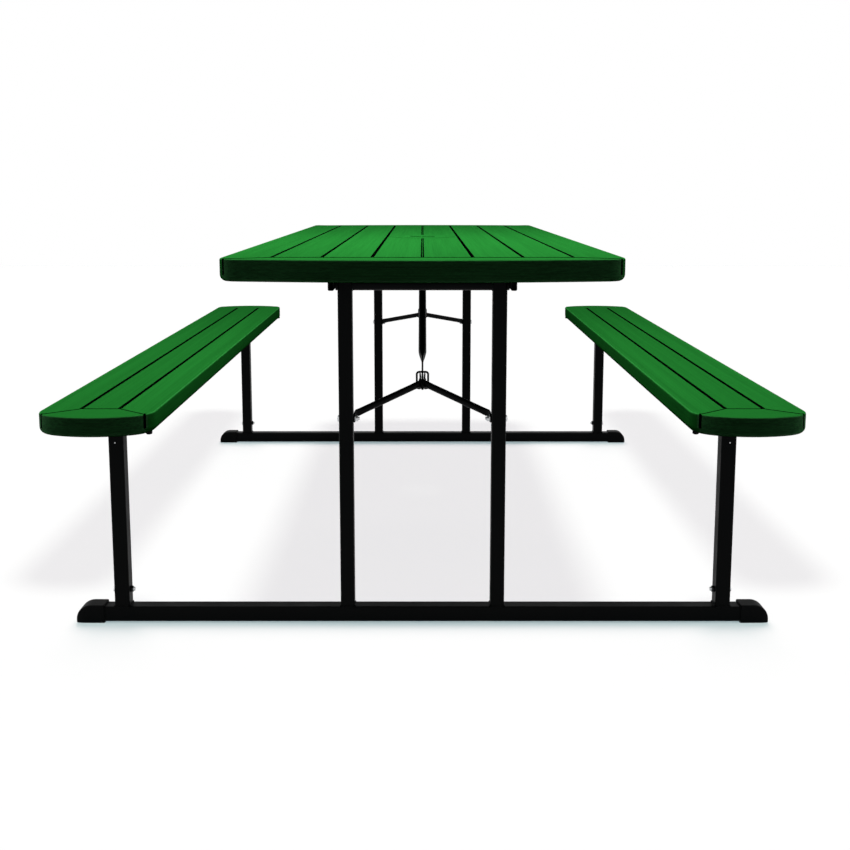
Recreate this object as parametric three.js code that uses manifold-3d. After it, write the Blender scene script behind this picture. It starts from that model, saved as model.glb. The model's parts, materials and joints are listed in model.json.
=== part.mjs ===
// Folding picnic table with two attached benches.
// Millimetres, +Z up. The origin is on the floor under the middle of the table top.
// X runs across the table from the left bench to the right bench.
// Y runs along it, from the near end frame to the far end frame.

import * as THREE from "three";
import { mergeVertices } from "three/addons/utils/BufferGeometryUtils.js";
import Module from "manifold-3d";

const wasm = await Module();
wasm.setup();

// Clearances
const GAP = 0.3; // between two pieces that touch
const PLAY = 0.3; // round a pin, bolt or pivot, on the radius
const SLIDE_PLAY = 0.4; // round a shoe in its track

// Table top
const TABLE_LENGTH = 1829;
const TABLE_WIDTH = 762;
const TABLE_HEIGHT = 757;
const TOP_THICKNESS = 43;
const TOP_BOW = 34; // how far the middle of each end stands out
const TOP_PLANKS = 8;

// Benches
const BENCH_LENGTH = 1829;
const BENCH_WIDTH = 221;
const SEAT_HEIGHT = 465;
const BENCH_THICKNESS = 40;
const BENCH_BOW = 31;
const BENCH_PLANKS = 3;
const BENCH_OVERHANG = 4; // bench centre outside the post centre
const KNEE_GAP = 129; // between the long sides of the top and of a bench, seen from above

// Moulded shells
const SHELL_WALL = 5;
const EDGE_ROUND = 9;
const CORNER_ROUND = 16;
const GROOVE_WIDTH = 5;
const GROOVE_DEPTH = 3;
const END_BOARD = 78; // from the middle of an end to the ends of the grooves
const SEAM_WIDTH = 1.6;
const SEAM_DEPTH = 1;
const SLIT_WIDTH = 3;
const SLIT_DEPTH = 3;
const SLIT_INSET = 8; // from the long side
const BLOW_HOLE_RADIUS = 6;
const BLOW_HOLE_Y = 330;

// Umbrella hole and its cap
const POLE_RADIUS = 21;
const CAP_LIP = 11; // cap past the edge of the hole
const CAP_THICKNESS = 3;
const CAP_PLUG = 10;
const BOSS_WALL = 8;
const BOSS_FACE_RADIUS = 86; // plain round face that stops the middle groove

// Steel rails under the top
const TOP_RAIL_WIDTH = 12;
const TOP_RAIL_WALL = 2;
const TOP_RAIL_STUB_ROOM = 1; // under the crossbar's stub
const TOP_RAIL_PAST_HINGE = 34;
const TOP_RAIL_BOLT_ROOM = 1; // beside the bolt heads on the legs, as they fold past

// End frames
const FRAME_INSET = 164.5; // end frame from the ends of the top and the benches
const LEG_SWING_ROOM = 0.85; // over a leg's top corner as the frame folds
const CROSSBAR_ROOM = 0.2; // between the crossbar and the inside of a leg
const STUB_RADIUS = 7;
const LEG_X = 153.5;
const LEG_SIZE = 28.6;
const LEG_ABOVE_HINGE = 5;
const POST_SIZE = 30.5;
const TUBE_WALL = 1.6;
const TUBE_ROUND = 4;
const FLOOR_RAIL_SIZE = 31.75;
const FLOOR_RAIL_LIFT = 2.5;
const RAIL_PAST_POST = 94.5; // from a post's middle to the outer end of its foot cap
const SOCKET_STUB_HEIGHT = 90;
const POST_BOLT_Z = 67;
const POST_BOLT_RADIUS = 4;
const POST_BOLT_OUT = 9; // past the post's inner face

// Foot caps
const FOOT_LENGTH = 58;
const FOOT_TOP = 3.75;
const FOOT_SIDE = 3;
const FOOT_END = 5;
const FOOT_NOSE_ROUND = 30;

// Braces: two arms from the legs to an elbow, then a link to the top
const ARM_PIVOT_Z = 426;
const ANCHOR_Y = 60; // link anchor from the middle
const ANCHOR_EYE_ROOM = 2.7; // over the link's eye
const ARM_REACH = 162.5; // leg pivot to elbow, seen from the side
const ELBOW_SAG = 12.5; // elbow below the straight line from leg pivot to anchor
const ARM_DIAMETER = 14;
const LINK_DIAMETER = 18;
const FLAT_THICKNESS = 3;
const FLAT_HALF_WIDTH = 9.5;
const EYE_HALF_WIDTH = 8;
const ARM_EYE_RUN = 18; // straight flattened end at the leg
const ARM_ELBOW_RUN = 24; // straight flattened end at the elbow
const HORN = 16; // arm end past the elbow, held by the lock ring
const LINK_ELBOW_RUN = 80; // flattened end at the elbow
const LINK_ANCHOR_RUN = 40; // flattened end at the anchor
const LINK_TAPER = 40;
const EYE_PAST_PIVOT = 9;
const EYE_TIP_RUN = 4.5; // over which a flattened end is rounded off
const EYE_TIP_SHARE = 0.5; // width left at its very end
const PLATE_GAP = 0.8; // between flattened ends that pass each other
const RIVET_RADIUS = 3;
const RIVET_HEAD_RADIUS = 6;
const RIVET_HEAD = 2.5;
const ARM_BOLT_RADIUS = 4;
const ARM_BOLT_HEAD_RADIUS = 7;
const ARM_BOLT_HEAD = 4;
const NUT_RADIUS = 7;
const NUT_HEIGHT = 6;
const NUT_TIP = 3;
const HEAD_CROWN = 0.7; // flat of a bolt head, as a share of its radius
const RING_PLAY = 1; // lock ring beside the link
const RING_TILT_ROOM = 3; // lock ring above and below the flattened ends
const RING_WIRE = 4;
const RING_LENGTH = 5;
const RING_AT = 11.5; // from the elbow, along the link
const ANCHOR_PIN_RADIUS = 4;
const ANCHOR_PLATE = 3;
const ANCHOR_LENGTH = 34;
const ANCHOR_WIDTH = 56;
const EAR_THICKNESS = 3;
const EAR_HALF_LENGTH = 12;

// Bench slides
const TRACK_END_ROOM = 11; // past the shoe when the table stands
const TRACK_FOLD_ROOM = 30; // past the shoe when the table is folded
const TRACK_WIDTH = 44;
const TRACK_DEPTH = 13;
const TRACK_WALL = 2.5;
const TRACK_LIP_ROOM = 2; // beside the slide's lug
const TRACK_SET_IN = 5; // lips of the track above the underside of the bench
const SHOE_LENGTH = 36;
const LUG_SIDE_ROOM = 3.275; // between the lug and the inside of the post
const LUG_THICKNESS = 12;
const LUG_ROUND = 8;
const PIN_DROP = 18; // slide pin below the underside of the bench
const POST_ABOVE_PIN = 7;
const SLIDE_PIN_RADIUS = 4;
const SLIDE_PIN_HEAD_RADIUS = 6.5;
const SLIDE_PIN_HEAD = 2.5;
const SLOT_BELOW_PIN = 9;

// Fineness of round forms
const ROUND_SIDES = 10;
const LOFT_SIDES = 10;
const HOLE_SIDES = 24;
const TUBE_CORNER_STEPS = 2;
const SLAB_EDGE_STEPS = 2;
const SLAB_CURVE_STEPS = 6;
const NOSE_STEPS = 8;
const OVERCUT = 1; // how far a cutter reaches past what it cuts

// Places worked out from the sizes above
const TOP_UNDERSIDE = TABLE_HEIGHT - TOP_THICKNESS;
const BENCH_UNDERSIDE = SEAT_HEIGHT - BENCH_THICKNESS;
const BENCH_X = TABLE_WIDTH / 2 + KNEE_GAP + BENCH_WIDTH / 2;
const POST_X = BENCH_X - BENCH_OVERHANG;
const STAND_WIDTH = 2 * (POST_X + RAIL_PAST_POST);
const FRAME_Y = Math.min(TABLE_LENGTH, BENCH_LENGTH) / 2 - FRAME_INSET;
const CROSSBAR_RADIUS = LEG_SIZE / 2 - TUBE_WALL - CROSSBAR_ROOM;
const HINGE_DROP = Math.hypot(LEG_SIZE / 2, LEG_ABOVE_HINGE) + LEG_SWING_ROOM;
const HINGE_Z = TOP_UNDERSIDE - HINGE_DROP;
const TOP_RAIL_DEPTH = HINGE_DROP + STUB_RADIUS + TOP_RAIL_STUB_ROOM + TOP_RAIL_WALL;
const ANCHOR_DROP = ANCHOR_PLATE + GAP + EYE_HALF_WIDTH + ANCHOR_EYE_ROOM;
const ANCHOR_Z = TOP_UNDERSIDE - ANCHOR_DROP;
const PIN_Z = BENCH_UNDERSIDE - PIN_DROP;
const CAP_RADIUS = POLE_RADIUS + CAP_LIP;
const FLOOR_RAIL_TOP = FLOOR_RAIL_LIFT + FLOOR_RAIL_SIZE;
const FOOT_HEIGHT = FLOOR_RAIL_TOP + FOOT_TOP;
const NOSE_ROUND = Math.min(FOOT_NOSE_ROUND, FOOT_HEIGHT - FLOOR_RAIL_LIFT, FOOT_LENGTH / 2);
// The rail stops where the rounded nose comes down to the rail's top.
const NOSE_RUN = NOSE_ROUND - Math.sqrt(NOSE_ROUND ** 2 - (NOSE_ROUND - FOOT_TOP) ** 2);
const FLOOR_RAIL_END = STAND_WIDTH / 2 - NOSE_RUN - FOOT_END;
const LUG_WIDTH = POST_SIZE - 2 * (TUBE_WALL + LUG_SIDE_ROOM);
const TRACK_SLOT = LUG_WIDTH + 2 * TRACK_LIP_ROOM;
const TRACK_RECESS = TRACK_DEPTH + TRACK_SET_IN;
const TRACK_OUTER_END = FRAME_Y + SHOE_LENGTH / 2 + TRACK_END_ROOM;
const TRACK_INNER_END = FRAME_Y - (HINGE_Z - PIN_Z) - SHOE_LENGTH / 2 - TRACK_FOLD_ROOM;
const LEG_FACE = LEG_X - LEG_SIZE / 2; // inner face of the right leg
const TOP_RAIL_FACE = LEG_X + LEG_SIZE / 2 + ARM_BOLT_HEAD + TOP_RAIL_BOLT_ROOM;
const TOP_RAIL_X = TOP_RAIL_FACE + TOP_RAIL_WIDTH / 2;

// The brace, seen from the side: the elbow sags a little under the line from leg pivot to anchor.
const SPAN_Y = FRAME_Y - ANCHOR_Y;
const SPAN_Z = ANCHOR_Z - ARM_PIVOT_Z;
const SPAN = Math.hypot(SPAN_Y, SPAN_Z);
const ELBOW_ALONG = Math.sqrt(ARM_REACH ** 2 - ELBOW_SAG ** 2);
const ELBOW = {
  y: -FRAME_Y + (ELBOW_ALONG * SPAN_Y + ELBOW_SAG * SPAN_Z) / SPAN,
  z: ARM_PIVOT_Z + (ELBOW_ALONG * SPAN_Z - ELBOW_SAG * SPAN_Y) / SPAN,
};
const LINK_LENGTH = Math.hypot(SPAN - ELBOW_ALONG, ELBOW_SAG);
const LINK_ANGLE = Math.atan2(ANCHOR_Z - ELBOW.z, -ANCHOR_Y - ELBOW.y);
const ARM_ANGLE = Math.atan2(ELBOW.z - ARM_PIVOT_Z, ELBOW.y + FRAME_Y);

const GREEN = new THREE.MeshStandardMaterial({ color: 0x1d6b2c, roughness: 0.55, metalness: 0 });
const BLACK_STEEL = new THREE.MeshStandardMaterial({ color: 0x0c0d0e, roughness: 0.42, metalness: 0.3 });
const BLACK_PLASTIC = new THREE.MeshStandardMaterial({ color: 0x101112, roughness: 0.6, metalness: 0 });
const ZINC = new THREE.MeshStandardMaterial({ color: 0xa9adb0, roughness: 0.35, metalness: 1 });

// A closed solid from a geometry, its shared points joined.
function solidOf(geometry) {
  const bare = new THREE.BufferGeometry();
  bare.setAttribute("position", geometry.getAttribute("position").clone());
  if (geometry.index) bare.setIndex(geometry.index.clone());
  const joined = mergeVertices(bare, 1e-4);
  const corners = joined.index.array;
  const kept = [];
  for (let i = 0; i < corners.length; i += 3) {
    const [a, b, c] = [corners[i], corners[i + 1], corners[i + 2]];
    if (a !== b && b !== c && c !== a) kept.push(a, b, c);
  }
  return new wasm.Manifold(
    new wasm.Mesh({
      numProp: 3,
      vertProperties: joined.attributes.position.array,
      triVerts: new Uint32Array(kept),
    }),
  );
}

// One named piece from a solid.
function piece(name, solid, material) {
  const cut = solid.getMesh();
  const geometry = new THREE.BufferGeometry();
  geometry.setAttribute("position", new THREE.BufferAttribute(cut.vertProperties.slice(), 3));
  geometry.setIndex(new THREE.BufferAttribute(cut.triVerts.slice(), 1));
  geometry.computeVertexNormals();
  const mesh = new THREE.Mesh(geometry, material);
  mesh.name = name;
  return mesh;
}

// A box between two corners.
function block(x0, x1, y0, y1, z0, z1) {
  const geometry = new THREE.BoxGeometry(x1 - x0, y1 - y0, z1 - z0);
  geometry.translate((x0 + x1) / 2, (y0 + y1) / 2, (z0 + z1) / 2);
  return solidOf(geometry);
}

// A round bar along X.
function barX(radius, x0, x1, y, z) {
  const geometry = new THREE.CylinderGeometry(radius, radius, x1 - x0, ROUND_SIDES);
  geometry.rotateZ(Math.PI / 2);
  geometry.translate((x0 + x1) / 2, y, z);
  return solidOf(geometry);
}

// A cutter for a pivot hole along X: its flats stay clear of a pin of this radius.
function boreX(radius, x0, x1, y, z) {
  return barX((radius + PLAY) / Math.cos(Math.PI / ROUND_SIDES), x0, x1, y, z);
}

// A round bar along Z.
function barZ(radius, x, y, z0, z1, sides = ROUND_SIDES) {
  const geometry = new THREE.CylinderGeometry(radius, radius, z1 - z0, sides);
  geometry.rotateX(Math.PI / 2);
  geometry.translate(x, y, (z0 + z1) / 2);
  return solidOf(geometry);
}

// A turned piece with its axis along X, from [radius, x] steps that start and end on the axis.
function turnedX(steps) {
  const points = steps.map(([radius, x]) => new THREE.Vector2(radius, x));
  const geometry = new THREE.LatheGeometry(points, ROUND_SIDES);
  geometry.rotateZ(-Math.PI / 2);
  return solidOf(geometry);
}

// A pin along X with a head at each end.
function headedPin(radius, half, headRadius, head) {
  return turnedX([
    [0, -half - head],
    [headRadius, -half - head],
    [headRadius, -half],
    [radius, -half],
    [radius, half],
    [headRadius, half],
    [headRadius, half + head],
    [0, half + head],
  ]);
}

function roundedSquare(path, half, round) {
  path.moveTo(half, -half + round);
  path.lineTo(half, half - round);
  path.absarc(half - round, half - round, round, 0, Math.PI / 2);
  path.lineTo(-half + round, half);
  path.absarc(-half + round, half - round, round, Math.PI / 2, Math.PI);
  path.lineTo(-half, -half + round);
  path.absarc(-half + round, -half + round, round, Math.PI, 1.5 * Math.PI);
  path.lineTo(half - round, -half);
  path.absarc(half - round, -half + round, round, 1.5 * Math.PI, 2 * Math.PI);
  return path;
}

// Section of a square steel tube.
function tubeSection(size) {
  const shape = roundedSquare(new THREE.Shape(), size / 2, TUBE_ROUND);
  shape.holes.push(roundedSquare(new THREE.Path(), size / 2 - TUBE_WALL, TUBE_ROUND - TUBE_WALL));
  return shape;
}

// A section that stands on z0, with its middle at x on the frame's plane.
function standing(section, x, z0, z1) {
  const geometry = new THREE.ExtrudeGeometry(section, {
    depth: z1 - z0,
    bevelEnabled: false,
    curveSegments: TUBE_CORNER_STEPS,
  });
  geometry.translate(x, 0, z0);
  return solidOf(geometry);
}

// A closed tube through rings of points; each ring is {y, x, halfX, halfZ} and lies square to Y.
function loftAlongY(rings) {
  const positions = [];
  const faces = [];
  for (const ring of rings) {
    for (let i = 0; i < LOFT_SIDES; i++) {
      const turn = (2 * Math.PI * (i + 0.5)) / LOFT_SIDES;
      positions.push(ring.x + ring.halfX * Math.cos(turn), ring.y, ring.halfZ * Math.sin(turn));
    }
  }
  const at = (ring, side) => ring * LOFT_SIDES + (side % LOFT_SIDES);
  for (let r = 0; r + 1 < rings.length; r++) {
    for (let i = 0; i < LOFT_SIDES; i++) {
      faces.push(at(r, i), at(r + 1, i), at(r + 1, i + 1));
      faces.push(at(r, i), at(r + 1, i + 1), at(r, i + 1));
    }
  }
  const last = rings.length - 1;
  for (let i = 1; i + 1 < LOFT_SIDES; i++) {
    faces.push(at(0, 0), at(0, i), at(0, i + 1));
    faces.push(at(last, 0), at(last, i + 1), at(last, i));
  }
  const geometry = new THREE.BufferGeometry();
  geometry.setAttribute("position", new THREE.Float32BufferAttribute(positions, 3));
  geometry.setIndex(faces);
  return solidOf(geometry);
}

// Outline of a moulded slab: straight long sides, bowed ends and small round corners.
function slabOutline(width, length, bow, round) {
  const half = width / 2;
  const cornerY = length / 2 - bow;
  const archX = half - round;
  const archY = length / 2 - bow * (archX / half) ** 2;
  const shape = new THREE.Shape();
  shape.moveTo(half, -cornerY + round);
  shape.lineTo(half, cornerY - round);
  shape.quadraticCurveTo(half, cornerY, archX, archY);
  shape.quadraticCurveTo(0, length - archY, -archX, archY);
  shape.quadraticCurveTo(-half, cornerY, -half, cornerY - round);
  shape.lineTo(-half, -cornerY + round);
  shape.quadraticCurveTo(-half, -cornerY, -archX, -archY);
  shape.quadraticCurveTo(0, -length + archY, archX, -archY);
  shape.quadraticCurveTo(half, -cornerY, half, -cornerY + round);
  return shape;
}

// A thin upright cutter along the line from one point to another, from z0 to z1.
function lineCutter(from, to, width, z0, z1) {
  const run = Math.hypot(to[0] - from[0], to[1] - from[1]);
  const geometry = new THREE.BoxGeometry(run + width, width, z1 - z0);
  geometry.rotateZ(Math.atan2(to[1] - from[1], to[0] - from[0]));
  geometry.translate((from[0] + to[0]) / 2, (from[1] + to[1]) / 2, (z0 + z1) / 2);
  return solidOf(geometry);
}

// The outside of a moulded plank slab, its underside at z = 0, with grooves, end seams and corner slits.
// stopRadius keeps the middle groove off a plain round face; 0 lets it run through.
function plankSlab(width, length, thickness, bow, planks, stopRadius) {
  const outside = new THREE.ExtrudeGeometry(slabOutline(width, length, bow, CORNER_ROUND), {
    depth: thickness - 2 * EDGE_ROUND,
    bevelThickness: EDGE_ROUND,
    bevelSize: EDGE_ROUND,
    bevelOffset: -EDGE_ROUND,
    bevelSegments: SLAB_EDGE_STEPS,
    curveSegments: SLAB_CURVE_STEPS,
  });
  outside.translate(0, 0, EDGE_ROUND);
  let slab = solidOf(outside);
  const pitch = width / planks;
  const grooveEnd = length / 2 - END_BOARD;
  const above = thickness + OVERCUT;
  for (let i = 1; i < planks; i++) {
    const x = i * pitch - width / 2;
    const stopped = Math.abs(x) < stopRadius ? Math.sqrt(stopRadius ** 2 - x ** 2) : 0;
    const runs = stopped ? [[-grooveEnd, -stopped], [stopped, grooveEnd]] : [[-grooveEnd, grooveEnd]];
    for (const [y0, y1] of runs) {
      const half = GROOVE_WIDTH / 2;
      slab = slab.subtract(block(x - half, x + half, y0, y1, thickness - GROOVE_DEPTH, above));
    }
  }
  const innerX = width / 2 - pitch;
  const slitX = width / 2 - SLIT_INSET;
  const slitY = length / 2 - bow * (slitX / (width / 2)) ** 2;
  for (const end of [-1, 1]) {
    const line = [
      [-slitX, end * slitY],
      [-innerX, end * grooveEnd],
      [innerX, end * grooveEnd],
      [slitX, end * slitY],
    ];
    for (let i = 0; i + 1 < line.length; i++) {
      slab = slab.subtract(lineCutter(line[i], line[i + 1], SEAM_WIDTH, thickness - SEAM_DEPTH, above));
    }
    for (const side of [-1, 1]) {
      const x = side * slitX;
      const inside = end * (slitY - SLIT_DEPTH);
      const outsideY = end * (slitY + SLIT_DEPTH);
      const half = SLIT_WIDTH / 2;
      slab = slab.subtract(
        block(
          x - half,
          x + half,
          Math.min(inside, outsideY),
          Math.max(inside, outsideY),
          EDGE_ROUND,
          thickness - EDGE_ROUND / 2,
        ),
      );
    }
  }
  return slab;
}

// The hollow inside a moulded slab.
function slabHollow(width, length, thickness, bow) {
  const inset = 2 * SHELL_WALL;
  const geometry = new THREE.ExtrudeGeometry(slabOutline(width - inset, length - inset, bow, CORNER_ROUND), {
    depth: thickness - inset,
    bevelEnabled: false,
    curveSegments: SLAB_CURVE_STEPS,
  });
  geometry.translate(0, 0, SHELL_WALL);
  return solidOf(geometry);
}

function tabletop() {
  const t = TOP_THICKNESS;
  const boss = barZ(CAP_RADIUS + BOSS_WALL, 0, 0, 0, t, HOLE_SIDES);
  const hollow = slabHollow(TABLE_WIDTH, TABLE_LENGTH, t, TOP_BOW).subtract(boss);
  const solid = plankSlab(TABLE_WIDTH, TABLE_LENGTH, t, TOP_BOW, TOP_PLANKS, BOSS_FACE_RADIUS)
    .subtract(hollow)
    .subtract(barZ(POLE_RADIUS, 0, 0, -OVERCUT, t + OVERCUT, HOLE_SIDES))
    .subtract(barZ(CAP_RADIUS, 0, 0, t - CAP_THICKNESS, t + OVERCUT, HOLE_SIDES))
    .subtract(barZ(BLOW_HOLE_RADIUS, 0, BLOW_HOLE_Y, -OVERCUT, SHELL_WALL + OVERCUT));
  return piece("tabletop", solid, GREEN);
}

function umbrellaCap() {
  const disc = barZ(CAP_RADIUS - PLAY, 0, 0, TOP_THICKNESS - CAP_THICKNESS + GAP, TOP_THICKNESS, HOLE_SIDES);
  const plugTop = TOP_THICKNESS - CAP_THICKNESS / 2;
  const plug = barZ(POLE_RADIUS - PLAY, 0, 0, plugTop - CAP_PLUG, plugTop, HOLE_SIDES);
  return piece("umbrella_cap", disc.add(plug), GREEN);
}

// A steel channel along the top, open upwards, with a pivot hole for each end frame's crossbar.
function topRail(side) {
  const half = TOP_RAIL_WIDTH / 2;
  const top = -GAP;
  const bottom = -GAP - TOP_RAIL_DEPTH;
  const end = FRAME_Y + TOP_RAIL_PAST_HINGE;
  const wall = TOP_RAIL_WALL;
  let rail = block(-half, half, -end, end, bottom, top).subtract(
    block(-half + wall, half - wall, -end - OVERCUT, end + OVERCUT, bottom + wall, top + OVERCUT),
  );
  for (const y of [-FRAME_Y, FRAME_Y]) {
    const inner = [-side * (half + OVERCUT), -side * (half - wall - OVERCUT)].sort((a, b) => a - b);
    rail = rail.subtract(boreX(STUB_RADIUS, inner[0], inner[1], y, -HINGE_DROP));
  }
  const mesh = piece(side < 0 ? "left_table_rail" : "right_table_rail", rail, BLACK_STEEL);
  mesh.position.x = side * TOP_RAIL_X;
  return mesh;
}

// The clevis under the top that holds a brace link.
function braceAnchor(end) {
  const earFace = FLAT_THICKNESS / 2 + PLATE_GAP;
  const plateZ = -GAP - ANCHOR_PLATE;
  const low = -ANCHOR_DROP - EYE_HALF_WIDTH;
  const halfW = ANCHOR_WIDTH / 2;
  let clevis = block(-halfW, halfW, -ANCHOR_LENGTH / 2, ANCHOR_LENGTH / 2, plateZ, -GAP);
  for (const side of [-1, 1]) {
    const faces = [side * earFace, side * (earFace + EAR_THICKNESS)].sort((a, b) => a - b);
    clevis = clevis.add(block(faces[0], faces[1], -EAR_HALF_LENGTH, EAR_HALF_LENGTH, low, plateZ + OVERCUT));
  }
  const reach = ANCHOR_WIDTH / 2;
  clevis = clevis.subtract(boreX(ANCHOR_PIN_RADIUS, -reach, reach, 0, -ANCHOR_DROP));
  const mesh = piece(end + "_brace_anchor", clevis, BLACK_STEEL);
  const pinHalf = earFace + EAR_THICKNESS + GAP;
  const pin = piece(
    end + "_anchor_pin",
    headedPin(ANCHOR_PIN_RADIUS, pinHalf, RIVET_HEAD_RADIUS, RIVET_HEAD),
    ZINC,
  );
  pin.position.z = -ANCHOR_DROP;
  const group = new THREE.Group();
  group.add(mesh, pin);
  group.position.y = end === "near" ? -ANCHOR_Y : ANCHOR_Y;
  return group;
}

function topAssembly() {
  const group = new THREE.Group();
  group.position.z = TOP_UNDERSIDE;
  group.add(tabletop(), umbrellaCap(), topRail(-1), topRail(1), braceAnchor("near"), braceAnchor("far"));
  return group;
}

// Names in an end group: the far group is turned half round, so its own -X side is on the right.
function sideName(end, side) {
  const left = end === "near" ? side < 0 : side > 0;
  return end + (left ? "_left_" : "_right_");
}

function crossbar(end) {
  const shoulder = TOP_RAIL_FACE - GAP;
  const tip = TOP_RAIL_FACE + TOP_RAIL_WIDTH - TOP_RAIL_WALL - GAP;
  const bar = turnedX([
    [0, -tip],
    [STUB_RADIUS, -tip],
    [STUB_RADIUS, -shoulder],
    [CROSSBAR_RADIUS, -shoulder],
    [CROSSBAR_RADIUS, shoulder],
    [STUB_RADIUS, shoulder],
    [STUB_RADIUS, tip],
    [0, tip],
  ]);
  const mesh = piece(end + "_crossbar", bar, BLACK_STEEL);
  mesh.position.set(0, -FRAME_Y, HINGE_Z);
  return mesh;
}

// A leg, notched round the crossbar at its top and drilled for the brace arm's bolt.
function leg(end, side) {
  const x = side * LEG_X;
  const reach = LEG_SIZE / 2 + OVERCUT;
  const tube = standing(tubeSection(LEG_SIZE), x, FLOOR_RAIL_TOP + GAP, HINGE_Z + LEG_ABOVE_HINGE)
    .subtract(barX(CROSSBAR_RADIUS + GAP, x - reach, x + reach, 0, HINGE_Z))
    .subtract(boreX(ARM_BOLT_RADIUS, x - reach, x + reach, 0, ARM_PIVOT_Z));
  const mesh = piece(sideName(end, side) + "leg", tube, BLACK_STEEL);
  mesh.position.y = -FRAME_Y;
  return mesh;
}

// The bolt that carries a brace arm: a head outside the leg, its end level with the leg's inner face.
function armBolt(end, side) {
  const bolt = turnedX([
    [0, -LEG_SIZE / 2],
    [ARM_BOLT_RADIUS, -LEG_SIZE / 2],
    [ARM_BOLT_RADIUS, LEG_SIZE / 2 + GAP],
    [ARM_BOLT_HEAD_RADIUS, LEG_SIZE / 2 + GAP],
    [ARM_BOLT_HEAD_RADIUS * HEAD_CROWN, LEG_SIZE / 2 + ARM_BOLT_HEAD],
    [0, LEG_SIZE / 2 + ARM_BOLT_HEAD],
  ]);
  const mesh = piece(sideName(end, side) + "arm_bolt", bolt, ZINC);
  mesh.position.set(side * LEG_X, -FRAME_Y, ARM_PIVOT_Z);
  if (side < 0) mesh.rotation.z = Math.PI;
  return mesh;
}

// The floor rail with the two stubs that the bench posts stand on.
function floorRail(end) {
  const half = FLOOR_RAIL_END;
  const geometry = new THREE.ExtrudeGeometry(tubeSection(FLOOR_RAIL_SIZE), {
    depth: 2 * half,
    bevelEnabled: false,
    curveSegments: TUBE_CORNER_STEPS,
  });
  geometry.translate(0, 0, -half);
  geometry.rotateY(Math.PI / 2);
  geometry.translate(0, 0, FLOOR_RAIL_LIFT + FLOOR_RAIL_SIZE / 2);
  let rail = solidOf(geometry);
  const stub = roundedSquare(new THREE.Shape(), POST_SIZE / 2 - TUBE_WALL - GAP, TUBE_ROUND - TUBE_WALL);
  for (const side of [-1, 1]) {
    const x = side * POST_X;
    const top = FLOOR_RAIL_TOP + SOCKET_STUB_HEIGHT;
    rail = rail
      .add(standing(stub, x, FLOOR_RAIL_TOP - TUBE_WALL / 2, top))
      .subtract(boreX(POST_BOLT_RADIUS, x - POST_SIZE, x + POST_SIZE, 0, POST_BOLT_Z));
  }
  const mesh = piece(end + "_floor_rail", rail, BLACK_STEEL);
  mesh.position.y = -FRAME_Y;
  return mesh;
}

// A bench post: its foot sits over the rail's stub, its top is slotted inwards for the slide's lug.
function benchPost(end, side) {
  const x = side * POST_X;
  const reach = POST_SIZE / 2 + OVERCUT;
  const slot = LUG_WIDTH / 2 + SLIDE_PLAY;
  const top = PIN_Z + POST_ABOVE_PIN;
  const tube = standing(tubeSection(POST_SIZE), x, FLOOR_RAIL_TOP + GAP, top)
    .subtract(boreX(SLIDE_PIN_RADIUS, x - reach, x + reach, 0, PIN_Z))
    .subtract(boreX(POST_BOLT_RADIUS, x - reach, x + reach, 0, POST_BOLT_Z))
    .subtract(block(x - slot, x + slot, 0, reach, PIN_Z - SLOT_BELOW_PIN, top + OVERCUT));
  const mesh = piece(sideName(end, side) + "bench_post", tube, BLACK_STEEL);
  mesh.position.y = -FRAME_Y;
  return mesh;
}

// The bolt that holds a post on its stub, head outside, end towards the table.
function postBolt(end, side) {
  const half = POST_SIZE / 2;
  const bolt = turnedX([
    [0, -half - POST_BOLT_OUT],
    [POST_BOLT_RADIUS, -half - POST_BOLT_OUT],
    [POST_BOLT_RADIUS, half + GAP],
    [ARM_BOLT_HEAD_RADIUS, half + GAP],
    [ARM_BOLT_HEAD_RADIUS * HEAD_CROWN, half + ARM_BOLT_HEAD],
    [0, half + ARM_BOLT_HEAD],
  ]);
  const mesh = piece(sideName(end, side) + "post_bolt", bolt, ZINC);
  mesh.position.set(side * POST_X, -FRAME_Y, POST_BOLT_Z);
  if (side < 0) mesh.rotation.z = Math.PI;
  return mesh;
}

// A foot cap: a block with a quarter round nose and a pocket for the end of the floor rail.
function footCap(end, side) {
  const outer = STAND_WIDTH / 2;
  const inner = outer - FOOT_LENGTH;
  const width = FLOOR_RAIL_SIZE + 2 * FOOT_SIDE;
  const shape = new THREE.Shape();
  shape.moveTo(inner, 0);
  shape.lineTo(outer, 0);
  shape.lineTo(outer, FOOT_HEIGHT - NOSE_ROUND);
  shape.absarc(outer - NOSE_ROUND, FOOT_HEIGHT - NOSE_ROUND, NOSE_ROUND, 0, Math.PI / 2);
  shape.lineTo(inner, FOOT_HEIGHT);
  shape.closePath();
  const geometry = new THREE.ExtrudeGeometry(shape, {
    depth: width,
    bevelEnabled: false,
    curveSegments: NOSE_STEPS,
  });
  geometry.translate(0, 0, -width / 2);
  geometry.rotateX(Math.PI / 2);
  const pocket = FLOOR_RAIL_SIZE / 2 + GAP;
  const middle = FLOOR_RAIL_LIFT + FLOOR_RAIL_SIZE / 2;
  const cap = solidOf(geometry).subtract(
    block(inner - OVERCUT, FLOOR_RAIL_END + GAP, -pocket, pocket, middle - pocket, middle + pocket),
  );
  const mesh = piece(sideName(end, side) + "foot_cap", cap, BLACK_PLASTIC);
  mesh.position.y = -FRAME_Y;
  if (side < 0) mesh.rotation.z = Math.PI;
  return mesh;
}

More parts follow.
